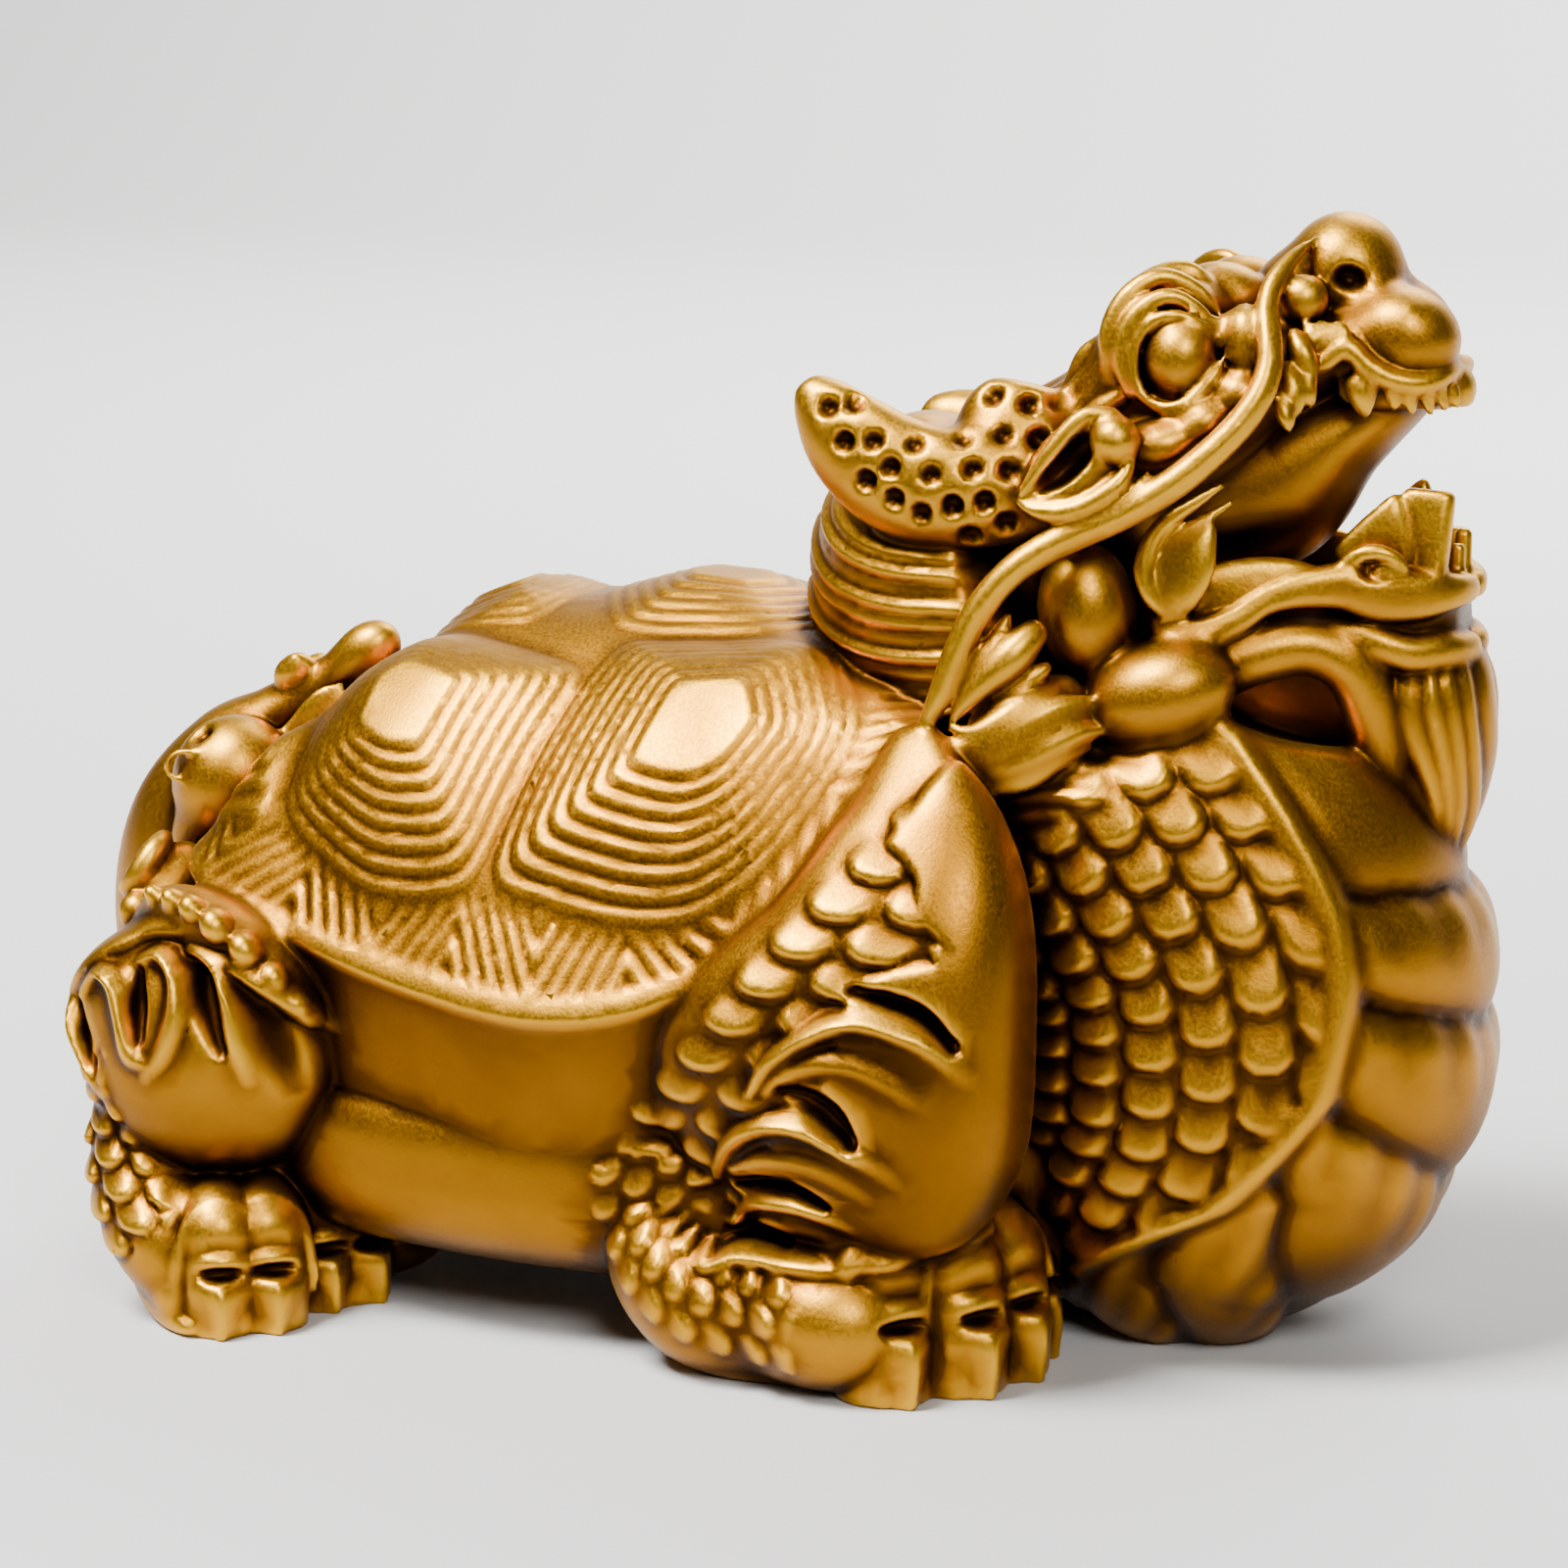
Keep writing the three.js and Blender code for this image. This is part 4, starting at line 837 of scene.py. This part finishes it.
FORELEG_SLITS = [
    [[28.4, 55, 0.6, -1], [33.4, 54, 1.2, -2.3], [37.8, 52.3, 1.2, -2.3], [41.8, 48.4, 0.6, -1.5]],
    [[19.6, 41.6, 0.6, -1], [23, 40.8, 1.6, -2.3], [26.2, 38.8, 2.2, -2.3], [29, 35.4, 1.1, -2]],
    [[11.2, 27.2, 0.6, -1], [16.8, 28.3, 1.0, -2.3], [21, 27.9, 1.0, -2.3], [25, 26.3, 0.6, -1]],
    [[9, 19.8, 0.6, -1], [13.6, 20, 0.9, -2.3], [18.2, 19.7, 0.6, -1]],
]


def scales_beside(sketch, edge, reach, wide, tall, high, skew):
    """Fish scales beside an edge of the drawing, on its left as it runs, as far in as reach. Their free
    ends point along it, and skew slants the rows."""
    dense = curve(np.array(edge, float), np.linspace(0, 1, 12 * len(edge)))
    best, along, off, length = np.full_like(sketch.x, 999.0), 0, 0, 0
    for a, b in zip(dense[:-1], dense[1:]):
        d = b - a
        step = math.hypot(*d)
        f, r = nearest_on(a, b, sketch.x, sketch.z)
        left = np.sign(d[0] * (sketch.z - a[1]) - d[1] * (sketch.x - a[0]))
        closer = r < best
        along = np.where(closer, length + f * step, along)
        off = np.where(closer, left * r, off)
        best = np.minimum(best, r)
        length += step
    inside = (off > 0) & (off < reach) & (along > 0) & (along < length)
    scale = high * scale_pattern(off, along + skew * off, wide, tall) - 0.45 * high
    sketch.height = np.where(inside, scale, sketch.height)


FOREPAW_SIZE, HIND_PAW_SIZE = 1.14, 0.94


def foreleg(clay, tips, side):
    """Haunch, bent forearm with a rim round its foot, and paw."""
    x, y, _ = tips[0]
    haunch = [[30, -32, 85, 4, 5], [32, -36, 72, 9, 12], [30.4, -39.6, 58, 12.6, 17],
              [24, -41.4, 42, 13.6, 24], [17.4, -40, 30, 11.8, 23.6], [10, -36, 16, 5, 14]]
    forearm = [[-2, -40, 27, 8, 7], [-1.6, -41, 16, 10, 8.6], [5, -43, 9.6, 10, 9.4],
               [15, -44, 9.6, 9.6, 9.4], [x - 12, y + 5.4, 9.4, 10.6, 9.8], [x - 6, y + 8.4, 10, 10, 9.6]]
    rim = [[-9, -38, 25, 1.2], [-6.6, -41.6, 15, 1.7], [-1.6, -45, 6.4, 2], [7, -46.8, 2.6, 2],
           [15, -47, 1.8, 2], [23, -46.6, 1.6, 1.6]]
    for stations, square, soft in ((haunch, 3, 0.8), (forearm, 2, 0.8), (rim, 2, 1.0)):
        clay.add(on_side(sweep(stations, blunt=3, square=square), side), soft)
    paw(clay, tips, FOREPAW_SIZE, side)
    sketch = Drawing(clay, [-14, 0], [62, 90], side, depth=(36, 70))
    scales_beside(sketch, FORELEG_EDGE, 24, 7.8, 6.7, 3.4, skew=0.5)
    scales_beside(sketch, WRIST_EDGE, 13.5, 4.5, 5.4, 2.4, skew=0.3)
    sketch.line([[x - 1.5, z + 1.2, 1.7, -2.4] for x, z in FORELEG_EDGE[1:]])
    sketch.plate(FORELEG_PLATE, 1.3, roll=1.2)
    for line in FORELEG_TONGUES + FORELEG_SLITS:
        sketch.line(line)
    sketch.press()


# Flames and slits over the hind leg's thigh, drawn on the side view
HINDLEG_LINES = [
    [[-88, 43, 1.2, 0.8], [-84.4, 47.2, 2, 1.4], [-80.4, 50.4, 2, 1.4], [-73.8, 53.4, 1.8, 1.2],
     [-68.5, 53.4, 0.8, 0.4]],
    [[-86.6, 42.4, 0.8, 1], [-85.6, 38.4, 1.2, 1.8], [-82.2, 33.6, 1.2, 1.4], [-79, 30, 0.8, 0.4]],
    [[-84.4, 43, 0.6, -1.5], [-82.8, 38.6, 1.3, -2.2], [-81.4, 34.8, 0.7, -1]],
    [[-83.4, 44, 0.8, 1], [-80.4, 47.6, 1.4, 2], [-77, 46.6, 1.6, 2.2], [-75.2, 42.2, 1.6, 2],
     [-73.6, 37.6, 1.6, 1.4], [-70.6, 36.6, 1.0, 0.6]],
    [[-73.6, 48.4, 0.6, -1.5], [-73, 44, 1.5, -2.3], [-72.2, 39.8, 0.9, -1.5]],
    [[-74, 49.6, 0.6, 1], [-70.8, 50.9, 1.3, 2], [-67.6, 48.6, 1.7, 2.2], [-66.6, 44, 1.8, 2],
     [-68, 38.6, 1.8, 1.2], [-71, 34.8, 1.2, 0.4]],
    [[-65, 49.8, 0.6, -1.5], [-63, 44.8, 1.6, -2.3], [-60.4, 38.8, 0.8, -1.5]],
    [[-67, 51.6, 0.8, 1], [-62.4, 50.2, 1.4, 2], [-59.4, 45.6, 1.8, 2.2], [-58, 40, 1.8, 1.4],
     [-57, 35, 1.2, 0.4]],
    [[-62.3, 51, 1.2, 1], [-56.9, 48.6, 2, 2], [-52.3, 45.6, 2.2, 2], [-49.1, 41.4, 1.6, 1]],
    [[-55.6, 44.4, 1.2, -0.8], [-53.8, 39, 2, -1.2], [-52.5, 33.4, 1.4, -0.4]],
]
HINDLEG_EDGE = [[-91, 38], [-91.4, 30], [-88, 21], [-83, 13.6], [-77, 7]]
HINDLEG_BEADS = [(-74.4, -44.6, 58, 1.5), (-70.6, -46.6, 58, 1.7), (-66.6, -48.4, 57.4, 2.1),
                 (-62.4, -49.6, 55.6, 2.6), (-58, -50, 52.8, 2.5), (-54, -49.6, 49.2, 2.1),
                 (-51, -48.6, 45.6, 1.6)]


def hindleg(clay, side):
    """Round thigh with a roll and a row of beads over it, scaled shank, heel and paw."""
    roll = [[-80, -36, 52, 4, 4], [-72, -42, 55, 4.4, 4], [-63, -45, 53.4, 4.4, 4],
            [-55.6, -45.6, 48.6, 4, 4], [-50, -45, 43, 3, 3]]
    shank = [[-78, -34, 42, 8, 8], [-77.6, -38, 30, 9, 9], [-75.4, -43, 16, 9.6, 8.8],
             [-68, -47, 9.4, 9.6, 9.4], [-63, -49, 9, 9, 9]]
    rim = [[-83.4, -33, 26, 1.6], [-82, -37.6, 15, 2], [-76.4, -45.4, 5, 2.2], [-69.6, -52, 1.8, 2.2],
           [-63.4, -57, 1.4, 1.8]]
    for form, soft in (
        (blob([-68, -39, 36], [19, 15.4, 18], pitch=20), 0.8),
        (blob([-75.2, -39, 43.4], [14.6, 12.4, 9.6], pitch=30), 2.0),
        (sweep(roll), 2.0),
        (sweep(shank, blunt=3), 0.6),
        (blob([-65, -33, 14], [15, 11, 12]), 1.0),
        (sweep(rim), 0.8),
        (sweep([[-62, -36, 6, 8, 7], [-54, -25, 7, 9, 7], [-46, -16, 8, 9, 7]]), 1.0),
        (sweep([[-70, -48, 5, 5, 5], [-64, -54, 4, 5, 4]]), 1.0),
    ):
        clay.add(on_side(form, side), soft)
    paw(clay, HIND_PAW, HIND_PAW_SIZE, side)
    sketch = Drawing(clay, [-98, 2], [-40, 64], side, depth=(28, 70))
    scales_beside(sketch, HINDLEG_EDGE, 13, 5.4, 5.6, 2.6, skew=-0.5)
    for line in HINDLEG_LINES:
        sketch.line(line)
    sketch.press()
    for x, y, z, r in HINDLEG_BEADS:
        clay.add(on_side(blob([x, y + 0.5, z - 0.4], [0.85 * r, r, 1.05 * r], pitch=35), side), 0.25)


def tail(clay):
    """The thick tail that rises behind the shell and ends in a scroll, with curls at both sides."""
    stem = [[-78, 0, 20, 12, 10], [-86, -3, 32, 12, 13], [-87.6, -6, 46, 11, 12.6], [-86.4, -6, 59, 10, 11],
            [-81, -5, 69.4, 9, 8], [-75, -4.6, 75, 6, 5], [-70, -4.6, 78.4, 4.6, 4.2],
            [-64, -4.4, 82.4, 4, 3.8], [-60, -4, 85.4, 3.6, 3.4]]
    clay.add(sweep(stem, blunt=4), 1.0)
    clay.add(blob([-60.8, -4.4, 85.4], [5.4, 4.0, 4.0], pitch=38), 2.5)
    clay.add(blob([-71.2, -7.0, 82.4], [3.4, 2.4, 2.4], pitch=38), 0.8)
    clay.add(blob([-70.2, -8.2, 84.4], [1.2, 1.0, 1.0]), 0.4)
    clay.add(blob([-76.8, -15, 67.8], [8.8, 8.6, 9.4], pitch=-20), 0.4)
    clay.add(sweep([[-76, -15, 66, 7, 7], [-80, -16.4, 61.6, 5.6, 5.4], [-84, -18, 56, 3, 3]]), 1.0)
    clay.add(blob([-78, 7, 68], [8, 8, 8]), 0.6)
    ring = [[-80.4 + 2.9 * math.cos(a), -22.2 + 0.8 * math.cos(a), 70.8 + 2.2 * math.sin(a), 0.6]
            for a in np.linspace(0.5, 5.9, 12)]
    clay.add(sweep(ring, blunt=20), 0.3)
    clay.cut(blob([-79.6, -19.6, 75], [1.9, 2.4, 1.3], pitch=30), 0.3)
    clay.add(sweep([[-75, 2, 77, 3], [-72, 1, 80, 2.9], [-69.4, 0, 83.2, 2.6]]), 0.4)
    clay.add(sweep([[-81.6, -26, 62, 1.6], [-81.6, -30, 60.4, 1.9], [-83.4, -32, 56.8, 1.9],
                    [-86.6, -31, 54.4, 1.4]]), 0.4)
    clay.add(blob([-82.6, -34, 52.4], [2.6, 2.4, 2.8]), 0.3)
    clay.add(sweep([[-78, -22, 58, 5, 5], [-81, -28, 54, 5, 5], [-81, -32, 48, 5, 5]]), 1.0)
    for k in range(4):
        lift = 1.5 * k
        strand = [[-73.9 - 0.3 * lift, -15.6, 62.6 + lift, 0.5], [-71.4 - 0.5 * lift, -13, 66 + lift, 0.9],
                  [-67.7 - 0.5 * lift, -11, 70.6 + lift, 0.9],
                  [-63.8 - 0.4 * lift, -10.4, 75.4 + lift, 0.9],
                  [-60.4 - 0.2 * lift, -9, 79.2 + 0.6 * lift, 0.5]]
        clay.add(sweep(strand, blunt=3), 0.4)


def figure(clay):
    for part in (plastron, shell, neck, upper_head, lower_jaw, beard, horns, ears, whiskers, cheek_locks):
        part(clay)
    foreleg(clay, NEAR_FOREPAW, side=1)
    foreleg(clay, FAR_FOREPAW, side=-1)
    hindleg(clay, side=1)
    hindleg(clay, side=-1)
    tail(clay)


# The clay becomes one closed mesh. Each of its points also knows how far it lies in a small crease or
# in a wide hollow, which the finish reads to paint shade there. CENTRING moves the figure, in mm, to where
# the frame has it.
FIGURE_LOW = [-104, -67, -3]
FIGURE_HIGH = [103, 67, 153]
CENTRING = np.array([0.616, 0, 0])
SOFTENING = 0.35
MOST_TRIANGLES = 194000
CREASE_SHADE_REACH, HOLLOW_SHADE_REACH = 0.9, 3.2


def sampled(field, clay, points):
    """The field's value at points in mm, between its cells."""
    at = points / CELL - clay.low
    at = np.clip(at, 0, np.array(field.shape) - 1.001)
    cell = np.floor(at).astype(int)
    f = at - cell
    total = 0
    for corner in np.ndindex(2, 2, 2):
        share = np.prod([f[:, k] if corner[k] else 1 - f[:, k] for k in range(3)], axis=0)
        x, y, z = (cell + corner).T
        total = total + share * field[x, y, z]
    return total


def largest_part(mesh):
    """Deletes what hangs together with nothing, such as the skin of an air pocket."""
    edges = np.zeros(2 * len(mesh.edges), int)
    mesh.edges.foreach_get("vertices", edges)
    a, b = edges.reshape(-1, 2).T
    label = np.arange(len(mesh.vertices))
    while True:
        least = np.minimum(label[a], label[b])
        new = label.copy()
        np.minimum.at(new, a, least)
        np.minimum.at(new, b, least)
        new = new[new]
        if (new == label).all():
            break
        label = new
    names, counts = np.unique(label, return_counts=True)
    stray = label != names[counts.argmax()]
    if stray.any():
        work = bmesh.new()
        work.from_mesh(mesh)
        work.verts.ensure_lookup_table()
        bmesh.ops.delete(work, geom=[work.verts[i] for i in np.flatnonzero(stray)], context="VERTS")
        work.to_mesh(mesh)
        work.free()


def mesh_of(points, triangles, quads):
    mesh = bpy.data.meshes.new("dragon_turtle_clay")
    mesh.vertices.add(len(points))
    mesh.vertices.foreach_set("co", points.astype(np.float32).ravel())
    corners = np.concatenate([quads.ravel(), triangles.ravel()]).astype(np.int32)
    sides = np.concatenate([np.full(len(quads), 4), np.full(len(triangles), 3)])
    mesh.loops.add(len(corners))
    mesh.loops.foreach_set("vertex_index", corners)
    mesh.polygons.add(len(sides))
    mesh.polygons.foreach_set("loop_start", np.concatenate([[0], np.cumsum(sides)[:-1]]).astype(np.int32))
    mesh.update(calc_edges=True)
    return mesh


def thinned(mesh, most):
    """A copy of the mesh with fewer triangles: flat stretches lose more than carving does."""
    holder = bpy.data.objects.new("thinning", mesh)
    bpy.context.scene.collection.objects.link(holder)
    triangles = sum(len(p.vertices) - 2 for p in mesh.polygons)
    modifier = holder.modifiers.new("fewer", "DECIMATE")
    modifier.ratio = min(1, most / triangles)
    modifier.use_collapse_triangulate = True
    done = bpy.data.meshes.new_from_object(holder.evaluated_get(bpy.context.evaluated_depsgraph_get()))
    bpy.data.objects.remove(holder)
    return done


def cast_figure():
    """The figure as one closed skin in its place in the frame, in metres."""
    clay = Clay(FIGURE_LOW, FIGURE_HIGH)
    figure(clay)
    clay.smooth(SOFTENING)
    clay.floor()
    mesh = thinned(mesh_of(*clay.skin()), MOST_TRIANGLES)
    mesh.name = "dragon_turtle_figure"
    largest_part(mesh)
    points = np.zeros(3 * len(mesh.vertices))
    mesh.vertices.foreach_get("co", points)
    points = points.reshape(-1, 3)
    solid = np.clip(clay.field, -BAND, BAND)
    # crease and hollow: how deep each point lies in the clay, which the finish turns into painted shade
    for name, reach in (("crease", CREASE_SHADE_REACH), ("hollow", HOLLOW_SHADE_REACH)):
        clay.field = solid.copy()
        clay.smooth(reach)
        values = -sampled(clay.field, clay, points) / reach
        attribute = mesh.attributes.new(name, "FLOAT", "POINT")
        attribute.data.foreach_set("value", values.astype(np.float32))
    placed = (points + CENTRING) / 1000
    mesh.vertices.foreach_set("co", placed.astype(np.float32).ravel())
    mesh.polygons.foreach_set("use_smooth", np.ones(len(mesh.polygons), bool))
    mesh.update()
    piece = bpy.data.objects.new("dragon_turtle_figure", mesh)
    bpy.context.scene.collection.objects.link(piece)
    return piece


# The finishes
def linear(hex_colour):
    """An sRGB colour as the shader wants it."""
    values = [int(hex_colour[i:i + 2], 16) / 255 for i in (1, 3, 5)]
    return [v / 12.92 if v <= 0.04045 else ((v + 0.055) / 1.055) ** 2.4 for v in values] + [1]


def add_node(tree, kind, settings=None, **links):
    """Adds a node. Settings go to its properties, and links to its inputs: values or other nodes'
    outputs, by the input's name or as i and its number."""
    node = tree.nodes.new(kind)
    for name, value in (settings or {}).items():
        setattr(node, name, value)
    for name, value in links.items():
        numbered = name[0] == "i" and name[1:].isdigit()
        socket = node.inputs[int(name[1:]) if numbered else name.replace("_", " ")]
        if isinstance(value, bpy.types.NodeSocket):
            tree.links.new(value, socket)
        else:
            socket.default_value = value
    return node


# In mm, apart from the shares of colour. The real grit is finer: it is drawn as coarse as it has to be to
# show. Clouds are the slow changes of tone from one patch of metal to the next.
GRIT = 0.45
GRAIN_HEIGHT = 0.05
CLOUDS = 18
CLOUD_SHARE = 0.12
# How much painted shade the hollows add to the tone
HOLLOW_SHADE_SHARE = 0.55
# How much painted shade is laid on surfaces that face down
UNDERSIDE_SHADE_SHARE = 0.18
# The gold's tones from ridges to recesses, darkening towards the recesses as painted shade, each at its
# share of the way, and how rough its satin is
GOLD_AND_SHADE_TONES = [(0.0, "#d49c1a"), (0.36, "#ac7410"), (0.5, "#865608"), (0.64, "#522f03"), (0.9, "#261202")]
SATIN_LEAST, SATIN_MOST = 0.34, 0.46


def satin_gold():
    """Satin gold lacquer on a cast figure, sandblasted before it was coated. It gives the eye a soft wide
    shine and a fine grain. Its colour holds painted shade: pale yellow on the ridges, darkening to brown
    in creases, hollows and on undersides."""
    material = bpy.data.materials.new("satin gold lacquer on a sandblasted casting")
    material.use_nodes = True
    tree = material.node_tree
    shader = tree.nodes["Principled BSDF"]
    shader.inputs["Metallic"].default_value = 1
    place = add_node(tree, "ShaderNodeTexCoord").outputs["Object"]
    # The crease and hollow attributes darken the colour as painted shade
    crease = add_node(tree, "ShaderNodeAttribute", {"attribute_name": "crease"}).outputs["Fac"]
    hollow = add_node(tree, "ShaderNodeAttribute", {"attribute_name": "hollow"}).outputs["Fac"]
    clouds = add_node(tree, "ShaderNodeTexNoise", Vector=place, Scale=1000 / CLOUDS,
                      Detail=3.0).outputs["Fac"]
    grain = add_node(tree, "ShaderNodeTexNoise", Vector=place, Scale=1000 / GRIT, Detail=2.0).outputs["Fac"]
    weighed = {"operation": "MULTIPLY_ADD"}
    both = add_node(tree, "ShaderNodeMath", weighed, i0=hollow, i1=HOLLOW_SHADE_SHARE, i2=crease).outputs[0]
    mottle = add_node(tree, "ShaderNodeMath", weighed, i0=clouds, i1=CLOUD_SHARE,
                      i2=-CLOUD_SHARE / 2).outputs[0]
    depth = add_node(tree, "ShaderNodeMath", {"operation": "ADD"}, i0=both, i1=mottle).outputs[0]
    # Painted shade: the colour darkens where the surface faces down
    normal = add_node(tree, "ShaderNodeNewGeometry").outputs["Normal"]
    rise = add_node(tree, "ShaderNodeSeparateXYZ", Vector=normal).outputs["Z"]
    below = add_node(tree, "ShaderNodeMath", weighed, i0=rise, i1=-UNDERSIDE_SHADE_SHARE, i2=depth).outputs[0]
    share = add_node(tree, "ShaderNodeMapRange", i0=below, i1=-0.5, i2=0.5, i3=0.0, i4=1.0).outputs[0]
    tone = add_node(tree, "ShaderNodeValToRGB", i0=share)
    stops = tone.color_ramp.elements
    while len(stops) < len(GOLD_AND_SHADE_TONES):
        stops.new(0.5)
    for stop, (at, colour) in zip(stops, GOLD_AND_SHADE_TONES):
        stop.position = at
        stop.color = linear(colour)
    tree.links.new(tone.outputs["Color"], shader.inputs["Base Color"])
    rough = add_node(tree, "ShaderNodeMapRange", i0=grain, i1=0.3, i2=0.7, i3=SATIN_LEAST,
                     i4=SATIN_MOST).outputs[0]
    tree.links.new(rough, shader.inputs["Roughness"])
    grain_height = GRAIN_HEIGHT / 1000
    bump = add_node(tree, "ShaderNodeBump", Height=grain, Distance=grain_height,
                    Strength=0.5).outputs["Normal"]
    tree.links.new(bump, shader.inputs["Normal"])
    return material


def studio_paint():
    """Matt emulsion paint of a studio floor: pale grey, with no shine to take the eye."""
    material = bpy.data.materials.new("matt pale studio paint")
    material.use_nodes = True
    shader = material.node_tree.nodes["Principled BSDF"]
    shader.inputs["Base Color"].default_value = linear("#c6c6c4")
    shader.inputs["Roughness"].default_value = 0.9
    return material


# The studio, in metres
FLOOR_REACH, FLOOR_FRONT, FLOOR_DEPTH, FLOOR_BEND, WALL_HEIGHT = 4.0, 0.3, 3.0, 1.0, 3.0
BEND_STEPS = 12
ROOM_LIGHT = 0.05


def studio_floor():
    """A floor that bends up into a wall behind the figure."""
    profile = [(-FLOOR_FRONT, 0.0)]
    for k in range(BEND_STEPS + 1):
        a = math.pi / 2 * k / BEND_STEPS
        y = FLOOR_DEPTH - FLOOR_BEND + FLOOR_BEND * math.sin(a)
        profile.append((y, FLOOR_BEND - FLOOR_BEND * math.cos(a)))
    profile.append((FLOOR_DEPTH, WALL_HEIGHT))
    points = [(x, y, z) for y, z in profile for x in (-FLOOR_REACH, FLOOR_REACH)]
    quads = [(2 * i, 2 * i + 1, 2 * i + 3, 2 * i + 2) for i in range(len(profile) - 1)]
    mesh = bpy.data.meshes.new("studio_floor")
    mesh.from_pydata(points, [], quads)
    for polygon in mesh.polygons:
        polygon.use_smooth = True
    floor = bpy.data.objects.new("studio_floor", mesh)
    bpy.context.scene.collection.objects.link(floor)
    mesh.materials.append(studio_paint())


FIGURE_MIDDLE = mathutils.Vector((CENTRING[0] / 1000, 0, 0.0696))
BACKDROP_MIDDLE = mathutils.Vector((0, 3.0, 0.8))


def light(name, place, power, size, aim=FIGURE_MIDDLE):
    """A square soft light: its power in W and its size in metres."""
    lamp = bpy.data.lights.new(name, "AREA")
    lamp.energy, lamp.size = power, size
    holder = bpy.data.objects.new(name, lamp)
    holder.location = place
    holder.rotation_euler = (aim - mathutils.Vector(place)).to_track_quat("-Z", "Y").to_euler()
    bpy.context.scene.collection.objects.link(holder)


# Where the photograph was taken from: turned to the right of the figure's side, and above it
PHOTO_TURN = math.radians(20)
PHOTO_RISE = math.radians(11)
PHOTO_DISTANCE = 0.6
PHOTO_LENS, PHOTO_SENSOR = 99.9, 36


def camera():
    level = math.cos(PHOTO_RISE)
    back = mathutils.Vector((math.sin(PHOTO_TURN) * level, -math.cos(PHOTO_TURN) * level,
                             math.sin(PHOTO_RISE)))
    lens = bpy.data.cameras.new("camera")
    lens.lens, lens.sensor_width = PHOTO_LENS, PHOTO_SENSOR
    holder = bpy.data.objects.new("camera", lens)
    holder.location = FIGURE_MIDDLE + back * PHOTO_DISTANCE
    holder.rotation_euler = (-back).to_track_quat("-Z", "Y").to_euler()
    bpy.context.scene.collection.objects.link(holder)
    bpy.context.scene.camera = holder


def studio():
    """A dark room with soft lights, so that the metal has something dark to reflect."""
    world = bpy.data.worlds.new("studio")
    bpy.context.scene.world = world
    world.use_nodes = True
    background = world.node_tree.nodes["Background"]
    background.inputs["Color"].default_value = linear("#ffffff")
    background.inputs["Strength"].default_value = ROOM_LIGHT
    studio_floor()
    light("key", (-0.4, -0.45, 1.1), 50, 0.45)
    light("fill", (0.5, -0.8, 0.75), 9, 0.35)
    light("back", (0.1, 0.8, 0.9), 8, 0.6)
    light("backdrop", (0.0, 0.9, 1.9), 260, 1.2, BACKDROP_MIDDLE)
    camera()


studio()
figure_piece = cast_figure()
figure_piece.data.materials.append(satin_gold())
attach(figure_piece, "root")
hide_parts("dragon_turtle")
